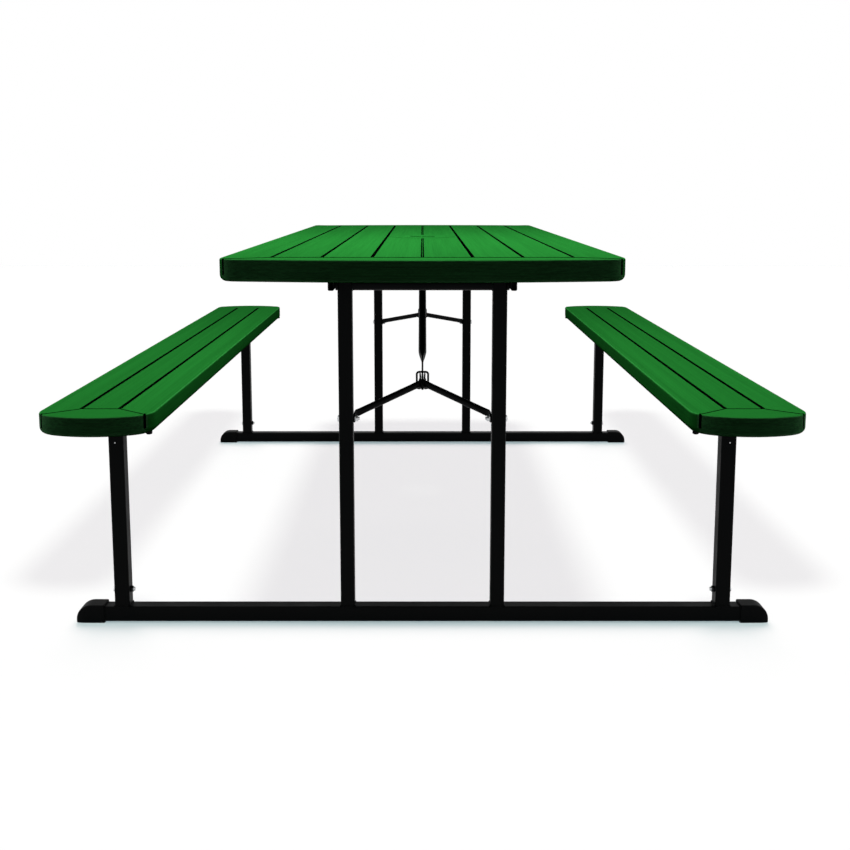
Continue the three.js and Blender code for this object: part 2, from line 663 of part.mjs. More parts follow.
// A brace arm, flattened at the leg and at the elbow. Its group's origin is the elbow, +Y to the horn.
function braceArm(end, side) {
  const eyeX = LEG_FACE - GAP - FLAT_THICKNESS / 2;
  const plateX = FLAT_THICKNESS + PLATE_GAP;
  const thin = FLAT_THICKNESS / 2;
  const round = ARM_DIAMETER / 2;
  const bendA = -ARM_REACH + ARM_EYE_RUN;
  const bendE = -ARM_ELBOW_RUN;
  const slope = (eyeX - plateX) / (bendE - bendA);
  const slant = round * Math.hypot(1, slope);
  const xAt = (y) => plateX + ((bendE - y) / (bendE - bendA)) * (eyeX - plateX);
  const settle = ARM_DIAMETER; // run over which the flattened end becomes round
  const eye = EYE_HALF_WIDTH;
  const tip = eye * EYE_TIP_SHARE;
  const rings = [
    { y: -ARM_REACH - EYE_PAST_PIVOT, x: eyeX, halfX: thin, halfZ: tip },
    { y: -ARM_REACH - EYE_PAST_PIVOT + EYE_TIP_RUN, x: eyeX, halfX: thin, halfZ: eye },
    { y: bendA - thin, x: eyeX, halfX: thin, halfZ: eye },
    { y: bendA + settle, x: xAt(bendA + settle), halfX: slant, halfZ: round },
    { y: bendE - settle, x: xAt(bendE - settle), halfX: slant, halfZ: round },
    { y: bendE, x: plateX, halfX: thin, halfZ: eye },
    { y: HORN - EYE_TIP_RUN, x: plateX, halfX: thin, halfZ: eye },
    { y: HORN, x: plateX, halfX: thin, halfZ: tip },
  ];
  const elbowX = side * plateX;
  const legX = side * eyeX;
  const arm = loftAlongY(rings.map((ring) => ({ ...ring, x: side * ring.x })))
    .subtract(boreX(RIVET_RADIUS, elbowX - eye, elbowX + eye, 0, 0))
    .subtract(boreX(RIVET_RADIUS, legX - eye, legX + eye, -ARM_REACH, 0));
  return piece(sideName(end, side) + "brace_arm", arm, BLACK_STEEL);
}

// The nut and bolt end on the inner side of a brace arm's eye.
function armNut(end, side) {
  const face = FLAT_THICKNESS + GAP;
  const nut = turnedX([
    [0, -face - NUT_HEIGHT - NUT_TIP],
    [RIVET_RADIUS, -face - NUT_HEIGHT - NUT_TIP],
    [RIVET_RADIUS, -face - NUT_HEIGHT],
    [NUT_RADIUS, -face - NUT_HEIGHT],
    [NUT_RADIUS, -face],
    [RIVET_RADIUS, -face],
    [RIVET_RADIUS, 0],
    [0, 0],
  ]);
  const mesh = piece(sideName(end, side) + "arm_nut", nut, ZINC);
  mesh.position.set(side * (LEG_FACE - GAP), -ARM_REACH, 0);
  if (side < 0) mesh.rotation.z = Math.PI;
  return mesh;
}

function elbowRivet(end) {
  const half = FLAT_THICKNESS / 2 + PLATE_GAP + FLAT_THICKNESS + GAP;
  return piece(end + "_elbow_rivet", headedPin(RIVET_RADIUS, half, RIVET_HEAD_RADIUS, RIVET_HEAD), ZINC);
}

// The link, a tube flattened at both ends. Its group's origin is the elbow, +Y to the anchor.
function braceLink(end) {
  const thin = FLAT_THICKNESS / 2;
  const round = LINK_DIAMETER / 2;
  const flat = FLAT_HALF_WIDTH;
  const anchorFlat = LINK_LENGTH - LINK_ANCHOR_RUN;
  const stations = [
    [-EYE_PAST_PIVOT, thin, flat * EYE_TIP_SHARE],
    [-EYE_PAST_PIVOT + EYE_TIP_RUN, thin, flat],
    [LINK_ELBOW_RUN, thin, flat],
    [LINK_ELBOW_RUN + LINK_TAPER, round, round],
    [anchorFlat - LINK_TAPER, round, round],
    [anchorFlat, thin, flat],
    [LINK_LENGTH + EYE_PAST_PIVOT - EYE_TIP_RUN, thin, EYE_HALF_WIDTH],
    [LINK_LENGTH + EYE_PAST_PIVOT, thin, EYE_HALF_WIDTH * EYE_TIP_SHARE],
  ];
  const link = loftAlongY(stations.map(([y, halfX, halfZ]) => ({ y, x: 0, halfX, halfZ })))
    .subtract(boreX(RIVET_RADIUS, -flat, flat, 0, 0))
    .subtract(boreX(ANCHOR_PIN_RADIUS, -flat, flat, LINK_LENGTH, 0));
  return piece(end + "_brace_link", link, BLACK_STEEL);
}

// The ring that drops over the elbow and holds it straight.
function lockRing(end) {
  const outline = (path, grow) => {
    const x = LINK_DIAMETER / 2 + RING_PLAY + grow;
    const z = FLAT_HALF_WIDTH + RING_TILT_ROOM + grow;
    path.moveTo(x, -z);
    path.lineTo(x, z);
    path.lineTo(-x, z);
    path.lineTo(-x, -z);
    path.closePath();
    return path;
  };
  const shape = outline(new THREE.Shape(), RING_WIRE);
  shape.holes.push(outline(new THREE.Path(), 0));
  const geometry = new THREE.ExtrudeGeometry(shape, { depth: RING_LENGTH, bevelEnabled: false });
  geometry.translate(0, 0, -RING_LENGTH / 2);
  geometry.rotateX(Math.PI / 2);
  const mesh = piece(end + "_lock_ring", solidOf(geometry), BLACK_STEEL);
  mesh.position.y = RING_AT;
  return mesh;
}

function brace(end) {
  const arms = new THREE.Group();
  arms.rotation.x = ARM_ANGLE;
  const link = new THREE.Group();
  link.rotation.x = LINK_ANGLE;
  for (const side of [-1, 1]) arms.add(braceArm(end, side), armNut(end, side));
  arms.add(elbowRivet(end));
  link.add(braceLink(end), lockRing(end));
  const group = new THREE.Group();
  group.position.set(0, ELBOW.y, ELBOW.z);
  group.add(arms, link);
  return group;
}

// The slide on a post: a shoe that runs in the bench's track and a lug that hangs into the post.
function benchSlide(end, side) {
  const shoeHalf = TRACK_WIDTH / 2 - TRACK_WALL - SLIDE_PLAY;
  const shoeTop = BENCH_UNDERSIDE + TRACK_RECESS - GAP - TRACK_WALL - SLIDE_PLAY;
  const shoeBottom = shoeTop - (TRACK_DEPTH - 2 * TRACK_WALL - 2 * SLIDE_PLAY);
  const long = SHOE_LENGTH / 2;
  const lugX = LUG_WIDTH / 2;
  const lugY = LUG_THICKNESS / 2;
  const slide = block(-shoeHalf, shoeHalf, -long, long, shoeBottom - PIN_Z, shoeTop - PIN_Z)
    .add(block(-lugX, lugX, -lugY, lugY, 0, shoeTop - PIN_Z))
    .add(barX(LUG_ROUND, -lugX, lugX, 0, 0))
    .subtract(boreX(SLIDE_PIN_RADIUS, -POST_SIZE, POST_SIZE, 0, 0));
  const pinHalf = POST_SIZE / 2 + GAP;
  const group = new THREE.Group();
  group.add(
    piece(sideName(end, side) + "bench_slide", slide, BLACK_PLASTIC),
    piece(
      sideName(end, side) + "slide_pin",
      headedPin(SLIDE_PIN_RADIUS, pinHalf, SLIDE_PIN_HEAD_RADIUS, SLIDE_PIN_HEAD),
      ZINC,
    ),
  );
  group.position.set(side * POST_X, -FRAME_Y, PIN_Z);
  return group;
}

function endAssembly(end) {
  const group = new THREE.Group();
  group.add(floorRail(end), crossbar(end), brace(end));
  for (const side of [-1, 1]) {
    group.add(leg(end, side), armBolt(end, side), benchPost(end, side), postBolt(end, side));
    group.add(footCap(end, side), benchSlide(end, side));
  }
  if (end === "far") group.rotation.z = Math.PI;
  return group;
}

// A downward open channel for one slide, its top at z = 0 and its slot to the floor.
function track(name, end) {
  const half = TRACK_WIDTH / 2;
  const wall = TRACK_WALL;
  const low = -TRACK_DEPTH;
  const slot = TRACK_SLOT / 2;
  const y0 = end < 0 ? -TRACK_OUTER_END : TRACK_INNER_END;
  const y1 = end < 0 ? -TRACK_INNER_END : TRACK_OUTER_END;
  const channel = block(-half, half, y0, y1, low, 0)
    .subtract(block(-half + wall, half - wall, y0 - OVERCUT, y1 + OVERCUT, low + wall, -wall))
    .subtract(block(-slot, slot, y0 - OVERCUT, y1 + OVERCUT, low - OVERCUT, low + wall + OVERCUT));
  const mesh = piece(name, channel, BLACK_STEEL);
  mesh.position.set(0, 0, TRACK_RECESS - GAP);
  return mesh;
}

// A moulded bench with its two tracks; side is -1 on the left.
function bench(side) {
  const name = side < 0 ? "left" : "right";
  const trackX = POST_X - BENCH_X;
  const half = TRACK_WIDTH / 2 + GAP;
  let hollow = slabHollow(BENCH_WIDTH, BENCH_LENGTH, BENCH_THICKNESS, BENCH_BOW);
  let slab = plankSlab(BENCH_WIDTH, BENCH_LENGTH, BENCH_THICKNESS, BENCH_BOW, BENCH_PLANKS, 0);
  const x = side * trackX;
  for (const end of [-1, 1]) {
    const y0 = (end < 0 ? -TRACK_OUTER_END : TRACK_INNER_END) - GAP;
    const y1 = (end < 0 ? -TRACK_INNER_END : TRACK_OUTER_END) + GAP;
    const wall = SHELL_WALL;
    hollow = hollow.subtract(
      block(x - half - wall, x + half + wall, y0 - wall, y1 + wall, 0, TRACK_RECESS + wall),
    );
    slab = slab.subtract(block(x - half, x + half, y0, y1, -OVERCUT, TRACK_RECESS));
  }
  slab = slab.subtract(hollow).subtract(barZ(BLOW_HOLE_RADIUS, 0, 0, -OVERCUT, SHELL_WALL + OVERCUT));
  const group = new THREE.Group();
  const nearTrack = track("near_" + name + "_track", -1);
  const farTrack = track("far_" + name + "_track", 1);
  nearTrack.position.x = x;
  farTrack.position.x = x;
  group.add(piece(name + "_bench", slab, GREEN), nearTrack, farTrack);
  group.position.set(side * BENCH_X, 0, BENCH_UNDERSIDE);
  return group;
}

const table = new THREE.Group();
table.add(topAssembly(), endAssembly("near"), endAssembly("far"), bench(-1), bench(1));

export default table;
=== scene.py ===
"""Looks of a folding picnic table: a moulded plank top and two benches on a black steel frame.

Every piece is built in metres in the part's own frame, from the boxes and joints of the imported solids.
X runs across the table to the right bench, Y along it to the far end, and Z up. The pieces of an end
frame, brace or slide are drawn at the near end, and turned half round for the far end.
"""

import json
import logging
import math
from dataclasses import dataclass, replace
from enum import Enum
from typing import Iterable, Sequence

import bmesh
import bpy
from mathutils import Matrix, Vector

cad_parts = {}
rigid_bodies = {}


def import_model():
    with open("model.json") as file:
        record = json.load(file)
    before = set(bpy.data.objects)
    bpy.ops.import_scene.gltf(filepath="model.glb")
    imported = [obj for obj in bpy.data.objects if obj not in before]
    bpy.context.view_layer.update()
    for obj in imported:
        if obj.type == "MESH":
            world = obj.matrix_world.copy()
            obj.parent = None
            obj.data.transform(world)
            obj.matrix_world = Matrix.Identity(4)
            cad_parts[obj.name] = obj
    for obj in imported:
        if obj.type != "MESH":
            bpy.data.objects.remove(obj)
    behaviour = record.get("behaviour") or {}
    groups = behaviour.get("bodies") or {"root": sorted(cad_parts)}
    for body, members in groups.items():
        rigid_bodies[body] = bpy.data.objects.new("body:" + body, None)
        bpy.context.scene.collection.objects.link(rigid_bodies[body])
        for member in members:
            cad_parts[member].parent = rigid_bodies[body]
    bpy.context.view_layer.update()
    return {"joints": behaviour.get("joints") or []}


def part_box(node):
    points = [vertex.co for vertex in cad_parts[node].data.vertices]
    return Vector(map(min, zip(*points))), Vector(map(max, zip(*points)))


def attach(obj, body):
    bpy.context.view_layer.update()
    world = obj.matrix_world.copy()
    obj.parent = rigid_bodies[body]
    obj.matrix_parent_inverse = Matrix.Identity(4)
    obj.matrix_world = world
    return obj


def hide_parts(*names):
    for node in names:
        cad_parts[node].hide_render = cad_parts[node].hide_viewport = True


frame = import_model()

MM = 0.001
SIGNS = (-1, 1)
ORIGIN = Vector((0, 0, 0))
ACROSS = Vector((1, 0, 0))
ALONG = Vector((0, 1, 0))
UP = Vector((0, 0, 1))
HALF_TURN = Matrix.Rotation(math.pi, 4, "Z")
LOG = logging.getLogger("picnic_table")

Colour = tuple[float, float, float]
Node = bpy.types.Node
Piece = bpy.types.Object
Points = list[tuple[float, float]]
Shape = bmesh.types.BMesh
Socket = bpy.types.NodeSocket
Sockets = bpy.types.bpy_prop_collection
Tree = bpy.types.NodeTree

# Turned heads: radius and height of each step, as shares of the head's own, or in millimetres for the dot.
PAN_HEAD = ((1.0, 0.0), (1.0, 0.45), (0.9, 0.75), (0.7, 0.95), (0.42, 1.0), (0.38, 0.45))
DOT_HEAD = ((1.5, 0.0), (1.5, 0.4), (1.3, 0.7), (0.9, 0.9), (0.4, 1.0))
ROUND_HEAD = ((1.0, 0.0), (1.0, 0.35), (0.88, 0.7), (0.62, 0.93), (0.25, 1.0))
RIVET_HEAD = ((0.25, 0.0), (0.65, 0.22), (0.9, 0.55), (1.0, 0.85), (1.0, 1.0))
PAD_HEAD = ((1.0, 0.6), (1.0, -0.05), (0.86, -0.22), (0.55, -0.34), (0.2, -0.38))


class Axis(Enum):
    """The way that a bar, tube or channel runs: its own axis, then the two of its section."""

    X = (0, 1, 2)
    Y = (1, 0, 2)
    Z = (2, 0, 1)

    def point(self, run: float, across: float, up: float) -> Vector:
        """Places a point of a section.

        Args:
            run: Place along this axis.
            across: First coordinate of the section.
            up: Second coordinate of the section.

        Returns:
            The point in the part's frame.
        """
        place = Vector()
        for axis, value in zip(self.value, (run, across, up)):
            place[axis] = value
        return place


class Side(Enum):
    """A side of the table, seen from the near end, with the sign of its x."""

    LEFT = -1
    RIGHT = 1

    def label(self) -> str:
        """Returns left or right."""
        return self.name.lower()


class End(Enum):
    """One end of the table: the far one is the near one turned half round."""

    NEAR = "near"
    FAR = "far"

    def turn(self) -> Matrix:
        """Returns the turn that carries a near piece to this end."""
        return Matrix.Identity(4) if self is End.NEAR else HALF_TURN

    def label(self, side: Side) -> str:
        """Names a piece's place, such as near_left.

        Args:
            side: Where it is drawn at the near end.

        Returns:
            The name of the place after the turn to this end.
        """
        here = side if self is End.NEAR else Side(-side.value)
        return f"{self.value}_{here.label()}"

    def labels(self, side: Side) -> tuple[str, str]:
        """Returns the place at the near end where a piece is drawn, and its own place at this end."""
        return End.NEAR.label(side), self.label(side)


def smoothstep(low: float, high: float, value: float) -> float:
    """Eases from 0 at low to 1 at high.

    Args:
        low: Where the step starts.
        high: Where the step ends.
        value: Where to look.

    Returns:
        The height of the step there.
    """
    share = min(max((value - low) / (high - low), 0.0), 1.0)
    return share * share * (3.0 - 2.0 * share)


def joint_place(name: str) -> Vector:
    """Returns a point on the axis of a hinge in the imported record."""
    return Vector(next(j["pos_m"] for j in frame["joints"] if j["name"] == name))


def middle(node: str) -> Vector:
    """Returns the middle of a node's box."""
    low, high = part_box(node)
    return (low + high) / 2


def cross_axis(node: str) -> Vector:
    """Returns where the axis of a bar or bolt across the table passes x = 0."""
    centre = middle(node)
    return Vector((0, centre.y, centre.z))


def inner_outer(node: str, side: Side) -> tuple[float, float]:
    """Returns the x of a node's face towards the middle of the table, and of the face away from it."""
    low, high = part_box(node)
    return (low.x, high.x) if side is Side.RIGHT else (high.x, low.x)


def circle(radius: float, sides: int) -> Points:
    """Returns the points of a round section."""
    turns = (2 * math.pi * (i + 0.5) / sides for i in range(sides))
    return [(radius * math.cos(t), radius * math.sin(t)) for t in turns]


def arc(start: float, stop: float, steps: int) -> Points:
    """Lists the points of a part of the unit circle.

    Args:
        start: Where it starts, in quarter turns.
        stop: Where it stops, in quarter turns.
        steps: Straight pieces between them.

    Returns:
        Cosine and sine of each point's turn.
    """
    turns = (math.pi / 2 * (start + (stop - start) * i / steps) for i in range(steps + 1))
    return [(math.cos(t), math.sin(t)) for t in turns]


def rounded_rectangle(half_a: float, half_b: float, radius: float, steps: int = 6) -> Points:
    """Draws a rectangle with round corners.

    Args:
        half_a: Half of its first side.
        half_b: Half of its second side.
        radius: Radius of the corners.
        steps: Straight pieces in each corner.

    Returns:
        Its points, counterclockwise.
    """
    points = []
    for quarter, (side_a, side_b) in enumerate(((1, 1), (-1, 1), (-1, -1), (1, -1))):
        a, b = side_a * (half_a - radius), side_b * (half_b - radius)
        points += [(a + radius * cos, b + radius * sin) for cos, sin in arc(quarter, quarter + 1, steps)]
    return points


def mirrored(right: Points) -> Points:
    """Returns the whole of a section from its right half, listed from the one end to the other."""
    return right + [(-a, b) for a, b in reversed(right)]


def skin(rings: Sequence[Sequence[Vector]], loop: bool = False) -> Shape:
    """Covers a row of closed rings that have as many points each.

    Args:
        rings: The rings in order.
        loop: Whether the last ring joins the first; if not, both ends are closed.

    Returns:
        The closed surface.
    """
    bm = bmesh.new()
    rows = [[bm.verts.new(point) for point in ring] for ring in rings]
    pairs = list(zip(rows, rows[1:]))
    if loop:
        pairs.append((rows[-1], rows[0]))
    else:
        bm.faces.new(tuple(reversed(rows[0])))
        bm.faces.new(tuple(rows[-1]))
    for a, b in pairs:
        for i in range(len(a)):
            j = (i + 1) % len(a)
            bm.faces.new((a[i], a[j], b[j], b[i]))
    bmesh.ops.recalc_face_normals(bm, faces=bm.faces)
    return bm


def joined(parts: Iterable[Shape]) -> Shape:
    """Puts several surfaces, which are freed, into one.

    Args:
        parts: The surfaces.

    Returns:
        One surface that holds them all.
    """
    whole = bmesh.new()
    for part in parts:
        mesh = bpy.data.meshes.new("part")
        part.to_mesh(mesh)
        part.free()
        whole.from_mesh(mesh)
        bpy.data.meshes.remove(mesh)
    return whole


def prism(section: Sequence[tuple[float, float]], axis: Axis, start: float, stop: float) -> Shape:
    """Returns the closed solid of a section that is drawn out along an axis from start to stop."""
    return skin([[axis.point(run, a, b) for a, b in section] for run in (start, stop)])


def turned(steps: Points, axis: Axis, at: Vector, sides: int = 32) -> Shape:
    """Turns a stepped piece.

    Args:
        steps: Radius and place along the axis of each step, in order.
        axis: The axis it turns on.
        at: The point that the places are counted from.
        sides: Sides of the round; 6 makes a hexagon.

    Returns:
        The closed solid.
    """
    return skin([[axis.point(run, a, b) + at for a, b in circle(radius, sides)] for radius, run in steps])


def head(shares: Sequence[tuple[float, float]], radius: float, height: float, start: float = 0.0) -> Points:
    """Sizes the steps of a turned head.

    Args:
        shares: Radius and height of each step, as shares of the whole.
        radius: Radius of the head.
        height: Its height, negative if it looks down its axis.
        start: Where it starts along the axis.

    Returns:
        Radius and place of each step.
    """
    return [(r * radius, start + h * height) for r, h in shares]


def square_tube(low: Vector, high: Vector, axis: Axis, wall: float, corner: float) -> Shape:
    """Makes a hollow tube with round corners that fills a box.

    Args:
        low: Lowest corner of the box.
        high: Highest corner of the box.
        axis: The way the tube runs.
        wall: Thickness of its wall.
        corner: Outer radius of its corners.

    Returns:
        The tube, open at both ends.
    """
    centre, half = (low + high) / 2, (high - low) / 2
    run, a, b = axis.value
    outer = rounded_rectangle(half[a], half[b], corner)
    inner = rounded_rectangle(half[a] - wall, half[b] - wall, corner - wall)
    rings = []
    for section, side in ((outer, -1), (outer, 1), (inner, 1), (inner, -1)):
        rings.append([axis.point(side * half[run], p, q) + centre for p, q in section])
    return skin(rings, loop=True)


def box(low: Sequence[float], high: Sequence[float]) -> Shape:
    """Returns a plain block between two corners, for cutting or joining."""
    corners = ((low[0], low[1]), (high[0], low[1]), (high[0], high[1]), (low[0], high[1]))
    return prism(corners, Axis.Z, low[2], high[2])


def wire_loop(path: Iterable[tuple[Vector, Vector, Vector, float]], sides: int = 8) -> Shape:
    """Lays a round wire or bead along a closed path.

    Args:
        path: Middle, way outwards, way aside and radius of the wire at each point.
        sides: Sides of the wire.

    Returns:
        The closed loop.
    """
    section = circle(1, sides)
    rings = []
    for at, out, aside, radius in path:
        rings.append([at + (out * u + aside * v) * radius for u, v in section])
    return skin(rings, loop=True)


def weld_bead(
    half: float, corner: float, radius: float, at: Vector, ripples: int = 44, ripple: float = 0.18
) -> Shape:
    """Lays a rippled weld round the foot of a square tube.

    Args:
        half: Half of the tube's width.
        corner: Radius of the tube's corners.
        radius: Radius of the bead.
        at: Middle of the tube's foot.
        ripples: Ripples round the tube.
        ripple: How far they swell, as a share of the radius.

    Returns:
        The bead as a closed ring.
    """
    corners = rounded_rectangle(half, half, corner, steps=ripples // 2)
    dense = []
    for (a0, b0), (a1, b1) in zip(corners, corners[1:] + corners[:1]):
        count = max(1, round(math.hypot(a1 - a0, b1 - b0) / radius))
        dense += [(a0 + (a1 - a0) * i / count, b0 + (b1 - b0) * i / count) for i in range(count)]
    path = []
    for i, (a, b) in enumerate(dense):
        out = Vector((a, b, 0))
        swell = radius * (1 + ripple * math.sin(2 * math.pi * ripples * i / len(dense)))
        path.append((at + out, out.normalized(), UP, swell))
    return wire_loop(path)


def rivet(at: Vector, start: float, stop: float, radius: float, head_radius: float) -> Shape:
    """Makes a pin along X with a domed head at each end.

    Args:
        at: A point on its axis.
        start: Its lowest x.
        stop: Its highest x.
        radius: Radius of the pin.
        head_radius: Radius of the heads.

    Returns:
        The pin.
    """
    tall = 2.5 * MM
    steps = head(RIVET_HEAD, head_radius, tall, start)
    steps += [(radius, start + tall), (radius, stop - tall)]
    steps += reversed(head(RIVET_HEAD, head_radius, -tall, stop))
    return turned(steps, Axis.X, Vector((0, at.y, at.z)), sides=28)


def thread(start: float, stop: float, radius: float) -> Points:
    """Lists the steps of a thread.

    Args:
        start: Where it starts along the axis.
        stop: Where it stops.
        radius: Outer radius.

    Returns:
        Radius and place of each step, for turning.
    """
    pitch, depth = 1.25 * MM, 0.45 * MM
    count = max(2, round(abs(stop - start) / pitch * 2))
    crests = (radius - depth, radius)
    return [(crests[i % 2], start + (stop - start) * i / count) for i in range(count + 1)]


def nut(start: float, stop: float, radius: float, neck: float, bevel: float) -> Points:
    """Lists the steps of a nut with bevelled faces.

    Args:
        start: Where it starts along the axis.
        stop: Where it stops.
        radius: Its radius over the corners.
        neck: Radius of its faces.
        bevel: Depth of the bevels.

    Returns:
        Radius and place of each step, for turning with 6 sides.
    """
    way = math.copysign(bevel, stop - start)
    return [(neck, start), (radius, start + way), (radius, stop - way), (neck, stop)]


def pan_screw(at: Vector, radius: float = 4 * MM, height: float = 2.2 * MM) -> Shape:
    """Returns a screw head with a socket that looks down from its seat."""
    return turned(head(PAN_HEAD, radius, -height), Axis.Z, at, sides=20)


def settle(piece: Piece) -> None:
    """Applies all of a piece's modifiers to its mesh.

    Args:
        piece: The piece.
    """
    bpy.context.view_layer.update()
    graph = bpy.context.evaluated_depsgraph_get()
    mesh = bpy.data.meshes.new_from_object(piece.evaluated_get(graph))
    worn_out = piece.data
    piece.modifiers.clear()
    piece.data = mesh
    bpy.data.meshes.remove(worn_out)


def new_object(name: str, bm: Shape) -> Piece:
    """Links a surface to the scene, its own origin in its middle.

    Args:
        name: Name of the object.
        bm: The surface in the part's frame, which is freed.

    Returns:
        The new object.
    """
    places = [v.co for v in bm.verts]
    low = Vector(map(min, zip(*places)))
    high = Vector(map(max, zip(*places)))
    centre = (low + high) / 2
    bmesh.ops.translate(bm, verts=bm.verts, vec=-centre)
    mesh = bpy.data.meshes.new(name)
    bm.to_mesh(mesh)
    bm.free()
    thing = bpy.data.objects.new(name, mesh)
    thing.location = centre
    bpy.context.scene.collection.objects.link(thing)
    return thing


def carve(piece: Piece, cutters: Sequence[Shape], lining: bpy.types.Material | None = None) -> None:
    """Cuts shapes out of a piece.

    Args:
        piece: The piece to cut.
        cutters: Closed surfaces in the part's frame, which may cross each other.
        lining: Material of the faces that the cut leaves, if not the piece's own.
    """
    cutter = new_object(piece.name + "_cutter", joined(cutters))
    if lining:
        cutter.data.materials.append(lining)
    cut = piece.modifiers.new("carve", "BOOLEAN")
    cut.operation = "DIFFERENCE"
    cut.solver = "EXACT"
    cut.material_mode = "TRANSFER"
    cut.use_self = True
    cut.object = cutter
    settle(piece)
    mesh = cutter.data
    bpy.data.objects.remove(cutter)
    bpy.data.meshes.remove(mesh)


def soften(piece: Piece, bevel: float) -> None:
    """Rounds a piece's edges and smooths its shading.

    Args:
        piece: The piece.
        bevel: Width of the rounded edges, or 0 to leave them.
    """
    crease = math.radians(38)
    if bevel:
        edges = piece.modifiers.new("bevel", "BEVEL")
        edges.width = bevel
        edges.segments = 3
        edges.limit_method = "ANGLE"
        edges.angle_limit = crease
        settle(piece)
    bm = bmesh.new()
    bm.from_mesh(piece.data)
    for face in bm.faces:
        face.smooth = True
    for edge in bm.edges:
        edge.smooth = len(edge.link_faces) == 2 and edge.calc_face_angle(0.0) < crease
    bm.to_mesh(piece.data)
    bm.free()
    normals = piece.modifiers.new("normals", "WEIGHTED_NORMAL")
    normals.keep_sharp = True
    settle(piece)


class Mix(Enum):
    """What a Mix node mixes, with the numbers of its inputs for the two values and of its output."""

    FLOAT = (2, 3, 0)
    VECTOR = (4, 5, 1)
    RGBA = (6, 7, 2)


class NodeKit:
    """Adds and links the nodes of one material or group."""

    def __init__(self, tree: Tree) -> None:
        """Keeps the tree that the nodes go into."""
        self.tree = tree

    def add(self, kind: str, **settings: object) -> Node:
        """Adds a node.

        Args:
            kind: Blender's name of its type.
            settings: Properties to set on it.

        Returns:
            The node.
        """
        node = self.tree.nodes.new(kind)
        for name, value in settings.items():
            setattr(node, name, value)
        return node

    def feed(self, target: Socket, value: object) -> None:
        """Links a socket, or sets it to a plain value.

        Args:
            target: The socket.
            value: The socket that feeds it, or its value.
        """
        if isinstance(value, Socket):
            self.tree.links.new(value, target)
        else:
            target.default_value = value

    def chain(self, node: Node, *values: object) -> Socket:
        """Feeds a node's inputs in order.

        Args:
            node: The node.
            values: What its inputs take, sockets or plain values.

        Returns:
            Its first output.
        """
        for target, value in zip(node.inputs, values):
            self.feed(target, value)
        return node.outputs[0]

    def math(self, operation: str, *values: object) -> Socket:
        """Returns the result of a Math node, its inputs numbers or sockets."""
        return self.chain(self.add("ShaderNodeMath", operation=operation), *values)

    def parts(self, point: Socket) -> Sockets:
        """Splits a vector.

        Args:
            point: The vector.

        Returns:
            Its x, y and z.
        """
        node = self.add("ShaderNodeSeparateXYZ")
        self.feed(node.inputs[0], point)
        return node.outputs

    def mix(self, kind: Mix, share: object, a: object, b: object) -> Socket:
        """Adds a Mix node.

        Args:
            kind: What it mixes.
            share: How much of b there is.
            a: The first value.
            b: The second value.

        Returns:
            The mixed value.
        """
        node = self.add("ShaderNodeMix", data_type=kind.name)
        port_a, port_b, result = kind.value
        for port, value in ((0, share), (port_a, a), (port_b, b)):
            self.feed(node.inputs[port], value)
        return node.outputs[result]

    def spread(
        self, value: Socket, low: object, high: object, to_low: float = 0.0, to_high: float = 1.0
    ) -> Socket:
        """Stretches a range of values onto another one.

        Args:
            value: The value to stretch.
            low: Lowest value taken.
            high: Highest value taken.
            to_low: What low becomes.
            to_high: What high becomes.

        Returns:
            The stretched value.
        """
        return self.chain(self.add("ShaderNodeMapRange"), value, low, high, to_low, to_high)

    def noise(self, point: Socket, scale: object, detail: float) -> Socket:
        """Adds a noise texture and stretches its usual heights to all of 0 to 1.

        Args:
            point: Where it is read.
            scale: Waves to the metre.
            detail: Finer layers on top.

        Returns:
            Its height.
        """
        node = self.add("ShaderNodeTexNoise")
        for name, value in (("Vector", point), ("Scale", scale), ("Detail", detail)):
            self.feed(node.inputs[name], value)
        usual = (0.3, 0.7)
        return self.spread(node.outputs["Fac"], *usual)

    def seen(self) -> Socket:
        """Tells rays that show a background from rays that light the object.

        Returns:
            1 for camera, glossy and transmission rays, else 0.
        """
        path = self.add("ShaderNodeLightPath").outputs
        shown = self.math("MAXIMUM", path["Is Camera Ray"], path["Is Glossy Ray"])
        return self.math("MAXIMUM", shown, path["Is Transmission Ray"])

    def place(self, group: Tree, **values: object) -> Sockets:
        """Places a node group and returns its outputs.

        Args:
            group: The group.
            values: What its inputs are fed, their names with underscores for spaces.

        Returns:
            The outputs.
        """
        node = self.add("ShaderNodeGroup", node_tree=group)
        for name, value in values.items():
            self.feed(node.inputs[name.replace("_", " ")], value)
        return node.outputs


class Effect(Enum):
    """Effects that several materials share, each a node group that is built once."""

    # A painted highlight on the rounded upper edges.
    EDGE = "RubbedEdge"
    END_BOARD = "EndBoard"
    GRAIN = "PlankGrain"
    MOTTLE = "Mottle"

    def group(self) -> Tree:
        """Looks up the effect's node group, and builds it the first time.

        Returns:
            The group.
        """
        known = bpy.data.node_groups.get(self.value)
        if known:
            return known
        builders = {
            Effect.EDGE: build_edge_highlight,
            Effect.END_BOARD: build_end_board,
            Effect.GRAIN: build_grain,
            Effect.MOTTLE: build_mottle,
        }
        tree = bpy.data.node_groups.new(self.value, "ShaderNodeTree")
        builders[self](tree)
        return tree


def group_ends(tree: Tree, takes: Sequence[str], gives: Sequence[str]) -> tuple[NodeKit, Sockets, Sockets]:
    """Gives a node group its named sockets.

    Args:
        tree: The group.
        takes: Names of its inputs; Point and Normal are vectors, the others plain values.
        gives: Names of its outputs, all plain values.

    Returns:
        A kit for the group, the sockets of its input node and those of its output node.
    """
    for name in takes:
        kind = "NodeSocketVector" if name in ("Point", "Normal") else "NodeSocketFloat"
        tree.interface.new_socket(name, in_out="INPUT", socket_type=kind)
    for name in gives:
        tree.interface.new_socket(name, in_out="OUTPUT", socket_type="NodeSocketFloat")
    kit = NodeKit(tree)
    return kit, kit.add("NodeGroupInput").outputs, kit.add("NodeGroupOutput").inputs


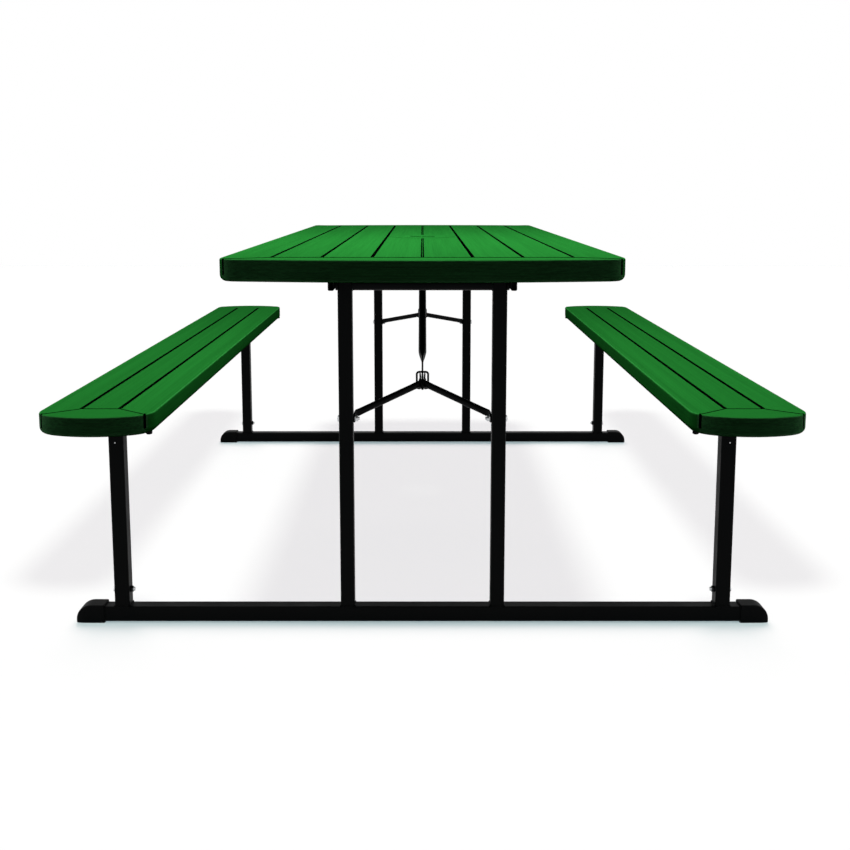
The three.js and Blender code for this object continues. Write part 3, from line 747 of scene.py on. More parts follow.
def build_edge_highlight(tree: Tree) -> None:
    """Fills the group that finds the rounded upper edges, where a lighter colour is painted as a highlight.

    Args:
        tree: The group.
    """
    upright, level = (0.15, 0.55), (0.90, 0.99)
    kit, given, result = group_ends(tree, ["Normal"], ["Mask"])
    rise = kit.parts(given["Normal"])["Z"]
    rising = kit.spread(rise, *upright)
    falling = kit.spread(rise, *level, 1.0, 0.0)
    # Mask of the painted highlight: rounded edges between upright and level.
    kit.feed(result["Mask"], kit.math("MULTIPLY", rising, falling))


def build_end_board(tree: Tree) -> None:
    """Fills the group that tells the mitred end boards from the planks between them.

    Args:
        tree: The group.
    """
    takes = ["Point", "Corner X", "Corner Y", "Joint X", "Joint Y"]
    kit, given, result = group_ends(tree, takes, ["Mask"])
    parts = kit.parts(given["Point"])
    across = kit.math("ABSOLUTE", parts["X"])
    along = kit.math("ABSOLUTE", parts["Y"])
    share = kit.spread(across, given["Joint X"], given["Corner X"])
    seam = kit.mix(Mix.FLOAT, share, given["Joint Y"], given["Corner Y"])
    kit.feed(result["Mask"], kit.math("GREATER_THAN", along, seam))


def build_grain(tree: Tree) -> None:
    """Fills the group that draws moulded wood grain, along the planks and across the end boards.

    Args:
        tree: The group.
    """
    plank_shift, board_tone = 3.7, 0.5
    layers = {"Streak": ((330.0, 2.5, 330.0), 3.0), "Figure": ((70.0, 0.5, 70.0), 2.0)}
    takes = ["Point", "End Board", "Half Width", "Plank Width"]
    kit, given, result = group_ends(tree, takes, [*layers, "Tone"])
    x, y, z = kit.parts(given["Point"])
    from_side = kit.math("ADD", x, given["Half Width"])
    plank = kit.math("FLOOR", kit.math("DIVIDE", from_side, given["Plank Width"]))
    shifted = kit.math("ADD", y, kit.math("MULTIPLY", plank, plank_shift))
    along_planks = kit.chain(kit.add("ShaderNodeCombineXYZ"), x, shifted, z)
    along_board = kit.chain(kit.add("ShaderNodeCombineXYZ"), y, x, z)
    grain = kit.mix(Mix.VECTOR, given["End Board"], along_planks, along_board)
    for name, (scale, detail) in layers.items():
        stretched = kit.chain(kit.add("ShaderNodeVectorMath", operation="MULTIPLY"), grain, scale)
        kit.feed(result[name], kit.noise(stretched, 1.0, detail))
    tone = kit.add("ShaderNodeTexWhiteNoise", noise_dimensions="1D")
    kit.feed(tone.inputs["W"], plank)
    kit.feed(result["Tone"], kit.mix(Mix.FLOAT, given["End Board"], tone.outputs["Value"], board_tone))


def build_mottle(tree: Tree) -> None:
    """Fills the group that gives a coating its soft patches and its fine texture.

    Args:
        tree: The group.
    """
    kit, given, result = group_ends(tree, ["Point", "Patches", "Texture"], ["Patch", "Fine"])
    for name, scale, detail in (("Patch", "Patches", 3.0), ("Fine", "Texture", 2.0)):
        kit.feed(result[name], kit.noise(given["Point"], given[scale], detail))


@dataclass(frozen=True, kw_only=True)
class Finish:
    """A coating or moulded surface with soft patches and a fine texture."""

    name: str
    slot: str
    dark: Colour
    light: Colour
    roughness: tuple[float, float]
    specular: float
    metallic: float = 0.0
    patches: float = 14.0
    texture: float = 900.0
    relief: float = 0.08 * MM
    bump: float = 0.25

    def material(self) -> bpy.types.Material:
        """Looks up the finish's material, and builds it the first time.

        Returns:
            The material.
        """
        known = bpy.data.materials.get(self.name)
        if known:
            return known
        material = bpy.data.materials.new(self.name)
        material.use_nodes = True
        material.diffuse_color = (*self.light, 1.0)
        kit = NodeKit(material.node_tree)
        surface = material.node_tree.nodes["Principled BSDF"].inputs
        surface["Metallic"].default_value = self.metallic
        surface["Specular IOR Level"].default_value = self.specular
        given = kit.add("ShaderNodeTexCoord").outputs
        group = Effect.MOTTLE.group()
        mottle = kit.place(group, Point=given["Object"], Patches=self.patches, Texture=self.texture)
        colour, height = self.look(kit, given, mottle)
        kit.feed(surface["Base Color"], colour)
        kit.feed(surface["Roughness"], kit.spread(mottle["Patch"], 0.0, 1.0, *self.roughness))
        relief = kit.add("ShaderNodeBump")
        for name, value in (("Strength", self.bump), ("Distance", self.relief), ("Height", height)):
            kit.feed(relief.inputs[name], value)
        kit.feed(surface["Normal"], relief.outputs["Normal"])
        return material

    def shade(self, kit: NodeKit, share: Socket) -> Socket:
        """Returns a colour between the dark and the light one."""
        return kit.mix(Mix.RGBA, share, (*self.dark, 1.0), (*self.light, 1.0))

    def look(self, kit: NodeKit, given: Sockets, mottle: Sockets) -> tuple[Socket, Socket]:
        """Draws what the finish shows.

        Args:
            kit: The material's kit.
            given: The piece's own coordinates.
            mottle: Its soft patches and fine texture.

        Returns:
            The colour, and the height of the relief from 0 to 1.
        """
        return self.shade(kit, mottle["Patch"]), mottle["Fine"]


@dataclass(frozen=True, kw_only=True)
class PlankFinish(Finish):
    """Moulded plastic with a wood grain that turns at the mitred end boards."""

    half_width: float
    plank_width: float
    corner: tuple[float, float]
    joint: tuple[float, float]
    # Painted highlight: lighter colour on the rounded upper edges, and how much of it is mixed in.
    edge: Colour = (0.055, 0.48, 0.085)
    rub: float = 0.8
    streak_share: float = 0.5
    figure_share: float = 0.3
    tone_share: float = 0.2
    fine_share: float = 0.15

    def look(self, kit: NodeKit, given: Sockets, mottle: Sockets) -> tuple[Socket, Socket]:
        """Draws the grain, and a painted highlight on the rounded upper edges over it.

        Args:
            kit: The material's kit.
            given: The piece's own coordinates.
            mottle: Its soft patches and fine texture.

        Returns:
            The colour, and the height of the relief from 0 to 1.
        """
        edge = kit.place(Effect.EDGE.group(), Normal=given["Normal"])
        board = kit.place(
            Effect.END_BOARD.group(),
            Point=given["Object"],
            Corner_X=self.corner[0],
            Corner_Y=self.corner[1],
            Joint_X=self.joint[0],
            Joint_Y=self.joint[1],
        )
        grain = kit.place(
            Effect.GRAIN.group(),
            Point=given["Object"],
            End_Board=board["Mask"],
            Half_Width=self.half_width,
            Plank_Width=self.plank_width,
        )
        blend = kit.math("MULTIPLY", grain["Figure"], self.figure_share)
        blend = kit.math("MULTIPLY_ADD", grain["Streak"], self.streak_share, blend)
        blend = kit.math("MULTIPLY_ADD", grain["Tone"], self.tone_share, blend)
        # Painted highlight: rounded upper edges mixed towards the lighter edge colour.
        painted_highlight = kit.math("MULTIPLY", edge["Mask"], self.rub)
        colour = kit.mix(Mix.RGBA, painted_highlight, self.shade(kit, blend), (*self.edge, 1.0))
        ridges = kit.math("MULTIPLY", grain["Streak"], 1 - self.fine_share)
        return colour, kit.math("MULTIPLY_ADD", mottle["Fine"], self.fine_share, ridges)


POWDER_COAT = Finish(
    name="black_powder_coat",
    slot="black_steel",
    dark=(0.0018, 0.0023, 0.0024),
    light=(0.0034, 0.0040, 0.0042),
    roughness=(0.40, 0.52),
    specular=0.04,
)
MOULDED_BLACK = Finish(
    name="moulded_black",
    slot="black_plastic",
    dark=(0.0016, 0.0019, 0.0021),
    light=(0.0032, 0.0036, 0.0038),
    roughness=(0.5, 0.62),
    specular=0.045,
    texture=1600.0,
    relief=0.06 * MM,
    bump=0.4,
)
# Painted shade: near-black green on the walls and floors of grooves, seams, slits and the cap's seat, where
# shade falls.
PAINTED_GROOVE_SHADE = Finish(
    name="groove_shade",
    slot="green_plank",
    dark=(0.0012, 0.0030, 0.0016),
    light=(0.0024, 0.0070, 0.0032),
    roughness=(0.8, 0.9),
    specular=0.0,
    texture=1200.0,
)
ZINC_PLATE = Finish(
    name="zinc_plate",
    slot="zinc",
    dark=(0.42, 0.44, 0.46),
    light=(0.66, 0.67, 0.67),
    roughness=(0.22, 0.38),
    specular=0.5,
    metallic=1.0,
    patches=160.0,
    texture=2500.0,
    relief=0.03 * MM,
)
BLACK_ZINC = replace(
    ZINC_PLATE,
    name="black_zinc_plate",
    dark=(0.006, 0.0065, 0.007),
    light=(0.016, 0.017, 0.018),
    roughness=(0.3, 0.45),
)


def finish_piece(
    name: str,
    bm: Shape,
    finish: Finish,
    body: str,
    nodes: Sequence[str] = (),
    cutters: Sequence[Shape] = (),
    grooves: Sequence[Shape] = (),
    bevel: float = 0.0,
    place: Matrix = Matrix.Identity(4),
) -> Piece:
    """Makes one finished piece that rides on a body.

    Args:
        name: The piece's name.
        bm: Its surface.
        finish: What it is coated with or moulded in.
        body: The body that carries it.
        nodes: Solids that it stands for.
        cutters: Shapes to cut out of it.
        grooves: Shapes to cut out of it whose faces take a near-black colour as painted shade.
        bevel: Width of its rounded edges.
        place: Carries surface and cutters from where they were drawn to the part's frame.

    Returns:
        The piece.
    """
    for shape in (bm, *cutters, *grooves):
        shape.transform(place)
    piece = new_object(name, bm)
    piece.data.materials.append(finish.material())
    if cutters:
        carve(piece, cutters)
    if grooves:
        # The cut faces take painted shade.
        carve(piece, grooves, PAINTED_GROOVE_SHADE.material())
    soften(piece, bevel)
    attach(piece, body)
    if nodes:
        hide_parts(*nodes)
    LOG.info("%s: %d faces on %s", name, len(piece.data.polygons), body)
    return piece


@dataclass
class PlankSlab:
    """A moulded slab that looks like planks between two mitred end boards."""

    node: str
    body: str
    planks: int
    bow: float
    groove_width: float
    finish_name: str
    stop_radius: float = 0.0
    slit_inset: float = 11 * MM
    corner_round: float = 34 * MM
    top_round: float = 3.5 * MM
    bottom_round: float = 12 * MM
    groove_depth: float = 6.5 * MM
    groove_floor: float = 0.5
    plank_edge: float = 1.1 * MM
    twin_off: float = 1.8 * MM
    twin_width: float = 2.2 * MM
    twin_edge: float = 0.3 * MM
    end_board: float = 78 * MM
    end_board_drop: float = 0.9 * MM
    seam_width: float = 1.5 * MM
    seam_depth: float = 2.6 * MM
    seam_floor: float = 0.35
    slit_width: float = 4 * MM
    slit_depth: float = 5 * MM
    slit_past: float = 20 * MM
    end_gloss: float = 0.06
    # End-face colours: bolder grain, made darker as painted shade and greyer as a painted sheen.
    end_dark_with_painted_shade: Colour = (0.008, 0.038, 0.011)
    end_light_with_painted_sheen: Colour = (0.070, 0.350, 0.100)
    end_slope: float = 0.6
    over: float = 2 * MM

    def __post_init__(self) -> None:
        """Takes the slab's measures from its solid."""
        self.low, self.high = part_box(self.node)
        self.centre = (self.low + self.high) / 2
        self.half_width = (self.high.x - self.low.x) / 2
        self.half_length = (self.high.y - self.low.y) / 2
        self.pitch = 2 * self.half_width / self.planks
        self.joint = (self.half_width - self.pitch, self.half_length - self.end_board)
        slit_x = self.half_width - self.slit_inset
        self.corner = (slit_x, self.corner_at(math.sqrt(self.slit_inset / self.corner_round)).y)

    def end_at(self, x: float) -> float:
        """Returns how far from the middle the bowed end is at x."""
        return self.half_length - self.bow * (x / self.half_width) ** 2

    def corner_at(self, share: float) -> Vector:
        """Returns a point of the far right corner's curve.

        Args:
            share: 0 on the long side, 1 on the bowed end.

        Returns:
            The point, from the slab's middle.
        """
        half, corner_y = self.half_width, self.half_length - self.bow
        arch_x = half - self.corner_round
        start = Vector((half, corner_y - self.corner_round, 0))
        bend = Vector((half, corner_y, 0))
        stop = Vector((arch_x, self.end_at(arch_x), 0))
        return start * (1 - share) ** 2 + bend * 2 * share * (1 - share) + stop * share**2

    def finish(self) -> PlankFinish:
        """Describes what the slab is moulded in, its grain turned at its own end boards.

        Returns:
            The finish.
        """
        return PlankFinish(
            name=self.finish_name,
            slot="green_plank",
            dark=(0.0165, 0.210, 0.0285),
            light=(0.0250, 0.300, 0.0415),
            roughness=(0.62, 0.74),
            specular=0.0,
            patches=9.0,
            texture=700.0,
            relief=0.5 * MM,
            bump=0.35,
            half_width=self.half_width,
            plank_width=self.pitch,
            corner=self.corner,
            joint=self.joint,
        )

    def outline(self, steps: int = 12, arch: int = 14) -> list[Vector]:
        """Draws the slab's outline, counterclockwise from the far right corner.

        Args:
            steps: Straight pieces in a corner.
            arch: Straight pieces in half of a bowed end.

        Returns:
            Its points, from the slab's middle.
        """
        far_right = [self.corner_at(i / steps) for i in range(steps + 1)]
        for i in range(1, arch + 1):
            x = (self.half_width - self.corner_round) * (1 - i / arch)
            far_right.append(Vector((x, self.end_at(x), 0)))
        far = far_right + [Vector((-p.x, p.y, 0)) for p in reversed(far_right[:-1])]
        return far + [-p for p in far]

    def shell(self) -> Shape:
        """Makes the plain slab with its rounded edges.

        Returns:
            The closed solid.
        """
        outline = self.outline()
        count = len(outline)
        inward = []
        for i in range(count):
            along = (outline[(i + 1) % count] - outline[i - 1]).normalized()
            inward.append(Vector((-along.y, along.x, 0)))
        below, above = self.bottom_round, self.top_round
        thickness = self.high.z - self.low.z
        levels = [(below * (1 - sin), below * (1 - cos)) for cos, sin in arc(0, 1, 6)]
        levels += [(above * (1 - cos), thickness - above * (1 - sin)) for cos, sin in arc(0, 1, 5)]
        base = Vector((self.centre.x, self.centre.y, self.low.z))
        rings = []
        for inset, up in levels:
            rings.append([base + p + n * inset + UP * up for p, n in zip(outline, inward)])
        return skin(rings)

    def line_cutter(self, start: Sequence[float], stop: Sequence[float], section: Points) -> Shape:
        """Draws a groove's section along a line on the upper face.

        Args:
            start: Where the line starts, from the slab's middle.
            stop: Where it stops.
            section: Points of the section, the upper face at height 0.

        Returns:
            The cutter.
        """
        top = Vector((self.centre.x, self.centre.y, self.high.z))
        a, b = Vector((*start, 0)), Vector((*stop, 0))
        way = (b - a).normalized()
        side = Vector((-way.y, way.x, 0))
        return skin([[top + p + side * s + UP * h for s, h in section] for p in (a, b)])

    def groove_section(self, width: float, edge: float) -> Points:
        """Draws the section of a groove between two planks.

        Args:
            width: Width of the groove.
            edge: Radius of the planks' edges.

        Returns:
            Points of the section, the upper face at height 0.
        """
        half, depth = width / 2, self.groove_depth
        right = [(half + edge, self.over)]
        right += [(half + edge * (1 - sin), -edge * (1 - cos)) for cos, sin in arc(0, 1, 3)]
        return mirrored(right + [(half, edge - depth), (half * self.groove_floor, -depth)])

    def seam_section(self) -> Points:
        """Returns the section of the fine seam between planks and end board."""
        half, depth = self.seam_width / 2, self.seam_depth
        return mirrored([(half * (1 + self.over / depth), self.over), (half * self.seam_floor, -depth)])

    def groove_cutters(self) -> list[Shape]:
        """Draws the grooves between the planks; one that stops at a boss is a pair of fine ones.

        Returns:
            Their cutters.
        """
        cutters = []
        stop_y, gap = self.joint[1], self.stop_radius
        single = self.groove_section(self.groove_width, self.plank_edge)
        fine = self.groove_section(self.twin_width, self.twin_edge)
        for i in range(1, self.planks):
            x = i * self.pitch - self.half_width
            if gap and 2 * i == self.planks:
                for lane in (x - self.twin_off, x + self.twin_off):
                    cutters.append(self.line_cutter((lane, -stop_y), (lane, -gap), fine))
                    cutters.append(self.line_cutter((lane, gap), (lane, stop_y), fine))
            else:
                cutters.append(self.line_cutter((x, -stop_y), (x, stop_y), single))
        return cutters

    def seam_cutters(self) -> list[Shape]:
        """Draws the mitred seams and the slits at the corners of both ends.

        Returns:
            Their cutters.
        """
        cutters = []
        (cx, cy), (jx, jy) = self.corner, self.joint
        half, seam = self.slit_width / 2, self.seam_section()
        bottom, top = self.low.z + self.bottom_round, self.high.z + self.over
        for end in SIGNS:
            line = [(-cx, end * cy), (-jx, end * jy), (jx, end * jy), (cx, end * cy)]
            cutters += [self.line_cutter(a, b, seam) for a, b in zip(line, line[1:])]
            face = self.centre.y + end * cy
            inside, outside = sorted((face - end * self.slit_depth, face + end * self.slit_past))
            for x in (self.centre.x - cx, self.centre.x + cx):
                cutters.append(box((x - half, inside, bottom), (x + half, outside, top)))
        return cutters

    def end_cutters(self) -> list[Shape]:
        """Sets both end boards a little lower than the planks.

        Returns:
            The cutters that do so.
        """
        (cx, cy), (jx, jy) = self.corner, self.joint
        past = self.half_length + self.over
        around = [(-cx, cy), (-jx, jy), (jx, jy), (cx, cy), (cx, past), (-cx, past)]
        cutters = []
        for end in SIGNS:
            placed = [(self.centre.x + end * x, self.centre.y + end * y) for x, y in around]
            cutters.append(prism(placed, Axis.Z, self.high.z - self.end_board_drop, self.high.z + self.over))
        return cutters

    def build(self, holes: Sequence[Shape], seats: Sequence[Shape] = ()) -> None:
        """Makes the finished slab.

        Args:
            holes: Further shapes to cut out.
            seats: Further shapes to cut out whose faces take painted shade.
        """
        slab = finish_piece(
            self.node + "_shell",
            self.shell(),
            self.finish(),
            self.body,
            [self.node],
            [*self.end_cutters(), *holes],
            [*self.groove_cutters(), *self.seam_cutters(), *seats],
        )
        # The end faces get painted shade and painted sheen in their colour.
        self.paint_end_shade_and_sheen(slab)

    def paint_end_shade_and_sheen(self, slab: Piece) -> None:
        """Gives the end faces a finish with a bolder grain and a little more gloss than the top, its colours
        darker as painted shade and greyer as painted sheen.

        Args:
            slab: The finished slab.
        """
        plain = self.finish()
        ends = replace(
            plain,
            name=plain.name + "_end",
            dark=self.end_dark_with_painted_shade,
            light=self.end_light_with_painted_sheen,
            specular=self.end_gloss,
        )
        slab.data.materials.append(ends.material())
        last = len(slab.data.materials) - 1
        for face in slab.data.polygons:
            if face.material_index == 0 and abs(face.normal.y) > self.end_slope:
                face.material_index = last


@dataclass
class TableTop:
    """The top with its umbrella hole and cap, the rails under it and the clevises of the braces."""

    planks: int = 8
    bow: float = 34 * MM
    groove_width: float = 4.8 * MM
    pole_radius: float = 21 * MM
    bed_depth: float = 3 * MM
    bed_room: float = 0.9 * MM
    over: float = 4 * MM
    boss_radius: float = 86 * MM
    boss_rise: float = 0.7 * MM
    boss_inset: float = 1 * MM
    boss_edge: tuple[tuple[float, float], ...] = ((0, 0.5), (0.3, 0.85), (1, 1))
    boss_clear: float = 18 * MM
    cap_rise: float = 2.2 * MM
    cap_thickness: float = 2.7 * MM
    cap_rim: tuple[tuple[float, float], ...] = ((0, 1), (0.3, 0.4), (1.2, 0), (5, 0), (6.5, 0.8))
    cap_middle: float = 4 * MM
    plug_room: float = 0.3 * MM
    plug_wall: float = 2 * MM
    plug_depth: float = 6 * MM
    plug_bevel: tuple[float, float] = (0.6 * MM, 1 * MM)
    rail_wall: float = 2 * MM
    rail_round: float = 3 * MM
    rail_screws: int = 5
    plate_thickness: float = 3 * MM
    plate_corner: float = 5 * MM
    plate_screw: float = 3.4 * MM
    screw_spot: tuple[float, float] = (20 * MM, 10 * MM)
    ear_half: float = 12 * MM
    ear_thickness: float = 3 * MM
    ear_gap: float = 2.3 * MM
    ear_root: float = 0.5 * MM
    ear_bevel: float = 0.4 * MM
    pin_radius: float = 4 * MM
    pin_head: float = 6 * MM
    rounds: int = 64

    def __post_init__(self) -> None:
        """Sets out the slab and the finish of cap and boss, which have no painted edge highlight."""
        self.slab = PlankSlab(
            "tabletop",
            "top",
            self.planks,
            self.bow,
            self.groove_width,
            "plank_green_top",
            self.boss_radius + self.boss_clear,
        )
        # Cap and boss take the plank finish without its painted edge highlight.
        self.cap_finish = replace(self.slab.finish(), name="plank_green_cap", rub=0.0)

    def build(self) -> None:
        """Makes all the pieces that ride on the top."""
        self.build_slab()
        self.build_cap()
        for side in Side:
            self.build_rail(side)
        for end in End:
            self.build_anchor(end)

    def build_slab(self) -> None:
        """Makes the slab, the hole through it and the low round boss about the hole."""
        cap_low, cap_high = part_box("umbrella_cap")
        hole, bed = self.pole_radius, (cap_high.x - cap_low.x) / 2 + self.bed_room
        top, over = self.slab.high.z, self.over
        seat = top - self.bed_depth
        pole = [(hole, self.slab.low.z - over), (hole, seat + over)]
        recess = [(bed, seat), (bed, top), (bed + over, top + over)]
        cutters = [turned(steps, Axis.Z, ORIGIN, self.rounds) for steps in (pole, recess)]
        self.slab.build(cutters[:1], cutters[1:])
        rim, rise, inset = self.boss_radius, self.boss_rise, self.boss_inset
        section = [(bed + inset, top - rise), (rim, top - rise)]
        section += [(rim - a * rise, top + b * rise) for a, b in self.boss_edge]
        section += [(bed + 2 * inset, top + rise), (bed + inset, top + rise / 2)]
        rings = []
        for i in range(self.rounds):
            turn = Matrix.Rotation(2 * math.pi * i / self.rounds, 4, "Z")
            rings.append([turn @ Vector((radius, 0, up)) for radius, up in section])
        finish_piece("umbrella_boss", skin(rings, loop=True), self.cap_finish, "top")

    def build_cap(self) -> None:
        """Makes the umbrella cap: a disc with a rolled edge, a shallow dish and a hollow plug."""
        low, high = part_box("umbrella_cap")
        radius, plug = (high.x - low.x) / 2, self.pole_radius - self.plug_room
        seat, top = high.z - self.cap_thickness, high.z + self.cap_rise
        hollow = plug - self.plug_wall
        steps = [(hollow, low.z + self.plug_depth), (hollow, low.z)]
        steps += [(plug - self.plug_bevel[0], low.z), (plug, low.z + self.plug_bevel[1])]
        steps += [(plug, seat), (radius, seat)]
        steps += [(radius - inset * MM, top - drop * MM) for inset, drop in self.cap_rim]
        steps.append((self.cap_middle, steps[-1][1]))
        disc = turned(steps, Axis.Z, ORIGIN, self.rounds)
        finish_piece("umbrella_cap_disc", disc, self.cap_finish, "cap", ["umbrella_cap"])

    def build_rail(self, side: Side) -> None:
        """Makes a folded steel channel under the top, with its screws.

        Args:
            side: The side that it is on.
        """
        node = side.label() + "_table_rail"
        low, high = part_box(node)
        wall, bend = self.rail_wall, self.rail_round
        half = (high.x - low.x) / 2
        x, depth = (low.x + high.x) / 2, high.z - low.z
        outer = [(-half, depth)]
        outer += [(-half + bend * (1 - cos), bend * (1 - sin)) for cos, sin in arc(0, 1, 5)]
        inner = [(half - wall, depth), (half - wall, bend), (half - bend, wall)]
        placed = [(x + a, low.z + b) for a, b in mirrored(outer) + mirrored(inner)]
        finish_piece(node + "_channel", prism(placed, Axis.Y, low.y, high.y), POWDER_COAT, "top", [node])
        heads = []
        for i in range(self.rail_screws):
            y = low.y + (high.y - low.y) * (i + 1) / (self.rail_screws + 1)
            heads.append(pan_screw(Vector((x, y, low.z))))
        finish_piece(node + "_screws", joined(heads), ZINC_PLATE, "top")

    def build_anchor(self, end: End) -> None:
        """Makes the clevis that holds a brace link, with its pin and screws.

        Args:
            end: The end that it belongs to.
        """
        node, pin_node = f"{end.value}_brace_anchor", f"{end.value}_anchor_pin"
        low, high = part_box(node)
        at = middle(pin_node)
        plate_low, half = high.z - self.plate_thickness, self.ear_half
        outline = rounded_rectangle((high.x - low.x) / 2, (high.y - low.y) / 2, self.plate_corner)
        parts = [prism([(at.x + a, at.y + b) for a, b in outline], Axis.Z, plate_low, high.z)]
        root = plate_low + self.ear_root
        ear = [(at.y + half, root)]
        ear += [(at.y + half * cos, at.z + (at.z - low.z) * sin) for cos, sin in arc(0, -2, 12)]
        ear.append((at.y - half, root))
        for sign in SIGNS:
            faces = sorted((sign * self.ear_gap, sign * (self.ear_gap + self.ear_thickness)))
            parts.append(prism(ear, Axis.X, *faces))
        finish_piece(node + "_clevis", joined(parts), POWDER_COAT, "top", [node], bevel=self.ear_bevel)
        pin_low, pin_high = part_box(pin_node)
        pin = rivet(at, pin_low.x, pin_high.x, self.pin_radius, self.pin_head)
        finish_piece(pin_node + "_rivet", pin, ZINC_PLATE, "top", [pin_node])
        spots = [(a * self.screw_spot[0], b * self.screw_spot[1]) for a in SIGNS for b in SIGNS]
        heads = [pan_screw(Vector((at.x + a, at.y + b, plate_low)), self.plate_screw) for a, b in spots]
        finish_piece(node + "_screws", joined(heads), ZINC_PLATE, "top")


@dataclass
class EndFrame:
    """One end's steel frame: crossbar, legs, floor rail, bench posts, foot caps and bolts."""

    end: End
    wall: float = 1.6 * MM
    tube_corner: float = 4 * MM
    play: float = 0.3 * MM
    weld: float = 2.2 * MM
    stub_height: float = 90 * MM
    stub_root: float = 1 * MM
    bar_radius: float = 12.5 * MM
    bar_end: float = 7 * MM
    bar_bevel: float = 1 * MM
    bar_weld: float = 0.75
    bar_ripple: float = 0.12
    bar_ripples: int = 12
    bar_steps: int = 48
    weld_ground_from: float = 0.3
    weld_ground_to: float = 0.6
    nose_round: float = 30 * MM
    nose_pull: float = 5 * MM
    nose_curve: float = 1.5
    cap_lip: float = 1.2 * MM
    cap_edge: float = 3.5 * MM
    cap_flat: float = 0.5 * MM
    slot_half: float = 10.8 * MM
    slot_depth: float = 16 * MM
    slot_past: float = 5 * MM
    dot_drop: float = 27.5 * MM
    dot_off: float = 1.2 * MM
    bolt_radius: float = 4 * MM
    bolt_head: float = 7 * MM
    arm_head_height: float = 4 * MM
    post_head_edge: float = 1.6 * MM
    post_head_flat: float = 5 * MM
    post_socket: float = 1.6 * MM
    post_shank: float = 3.6 * MM
    post_nut_height: float = 5 * MM
    post_nut_size: tuple[float, float, float] = (7 * MM, 6.2 * MM, 0.7 * MM)

    def make(
        self, name: str, bm: Shape, finish: Finish, nodes: Sequence[str] = (), cutters: Sequence[Shape] = ()
    ) -> None:
        """Finishes a piece that was drawn at the near end.

        Args:
            name: The piece's name.
            bm: Its surface at the near end.
            finish: Its finish.
            nodes: Solids that it stands for.
            cutters: Shapes to cut out, at the near end.
        """
        finish_piece(name, bm, finish, self.end.value + "_frame", nodes, cutters, place=self.end.turn())

    def build(self) -> None:
        """Makes all the pieces of the frame."""
        self.build_floor_rail()
        self.build_crossbar()
        for side in Side:
            self.build_leg(side)
            self.build_post(side)
            self.build_foot_cap(side)
            self.build_arm_bolt(side)
            self.build_post_bolt(side)

    def build_floor_rail(self) -> None:
        """Makes the floor rail with the stubs inside the posts, and the welds on its upper face."""
        low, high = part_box("near_floor_rail")
        rail_top = low.z + (high.y - low.y)
        parts = [square_tube(low, Vector((high.x, high.y, rail_top)), Axis.X, self.wall, self.tube_corner)]
        beads = []
        inset = self.wall + self.play
        for side in Side:
            near = End.NEAR.label(side)
            post_low, post_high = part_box(near + "_bench_post")
            stub_low = Vector((post_low.x + inset, post_low.y + inset, rail_top - self.stub_root))
            stub_high = Vector((post_high.x - inset, post_high.y - inset, rail_top + self.stub_height))
            parts.append(square_tube(stub_low, stub_high, Axis.Z, self.wall, self.tube_corner - self.wall))
            for node in (near + "_bench_post", near + "_leg"):
                foot_low, foot_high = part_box(node)
                at = Vector((middle(node).x, (low.y + high.y) / 2, rail_top))
                beads.append(weld_bead((foot_high.x - foot_low.x) / 2, self.tube_corner, self.weld, at))
        node = self.end.value + "_floor_rail"
        self.make(node + "_tube", joined(parts), POWDER_COAT, [node])
        self.make(self.end.value + "_foot_welds", joined(beads), POWDER_COAT)

    def build_crossbar(self) -> None:
        """Makes the crossbar with its turned ends and the welds at the legs."""
        at, tip = cross_axis("near_crossbar"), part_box("near_crossbar")[1].x
        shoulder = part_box("right_table_rail")[0].x - self.play
        leg_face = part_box("near_right_leg")[0].x
        thick, thin, bevel = self.bar_radius, self.bar_end, self.bar_bevel
        half = [
            (thick, shoulder - bevel),
            (thick - bevel, shoulder),
            (thin, shoulder),
            (thin, tip - bevel),
            (thin - bevel, tip),
        ]
        bar = turned([(r, -x) for r, x in reversed(half)] + half, Axis.X, at, sides=40)
        node = self.end.value + "_crossbar"
        self.make(node + "_tube", bar, POWDER_COAT, [node])
        beads = [self.crossbar_bead(at + ACROSS * sign * leg_face) for sign in SIGNS]
        self.make(node + "_welds", joined(beads), POWDER_COAT)

    def crossbar_bead(self, at: Vector) -> Shape:
        """Lays a weld round the crossbar, ground lower on its upper side.

        Args:
            at: Where it is on the bar's axis.

        Returns:
            The bead as a closed ring.
        """
        path = []
        for i in range(self.bar_steps):
            turn = 2 * math.pi * i / self.bar_steps
            out = Vector((0, math.cos(turn), math.sin(turn)))
            swell = self.weld * (self.bar_weld + self.bar_ripple * math.sin(self.bar_ripples * turn))
            if out.z > self.weld_ground_from:
                swell *= self.weld_ground_to
            path.append((at + out * self.bar_radius, out, ACROSS, swell))
        return wire_loop(path)

    def build_leg(self, side: Side) -> None:
        """Makes a leg.

        Args:
            side: Where it is drawn at the near end.
        """
        near, here = self.end.labels(side)
        tube = square_tube(*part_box(near + "_leg"), Axis.Z, self.wall, self.tube_corner)
        self.make(here + "_leg_tube", tube, POWDER_COAT, [here + "_leg"])

    def build_post(self, side: Side) -> None:
        """Makes a bench post, slotted at the top, and the small screw near its top.

        Args:
            side: Where it is drawn at the near end.
        """
        near, here = self.end.labels(side)
        low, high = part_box(near + "_bench_post")
        x, y = (low.x + high.x) / 2, (low.y + high.y) / 2
        tube = square_tube(low, high, Axis.Z, self.wall, self.tube_corner)
        slot_low = (x - self.slot_half, y, high.z - self.slot_depth)
        slot_high = (x + self.slot_half, high.y + self.slot_past, high.z + self.slot_past)
        slot = box(slot_low, slot_high)
        self.make(here + "_bench_post_tube", tube, POWDER_COAT, [here + "_bench_post"], [slot])
        pin_z = middle(near + "_slide_pin").z
        at = Vector((x + side.value * self.dot_off, low.y, pin_z - self.dot_drop))
        dot = turned(head(DOT_HEAD, MM, -MM), Axis.Y, at, sides=20)
        self.make(here + "_post_screw", dot, ZINC_PLATE)

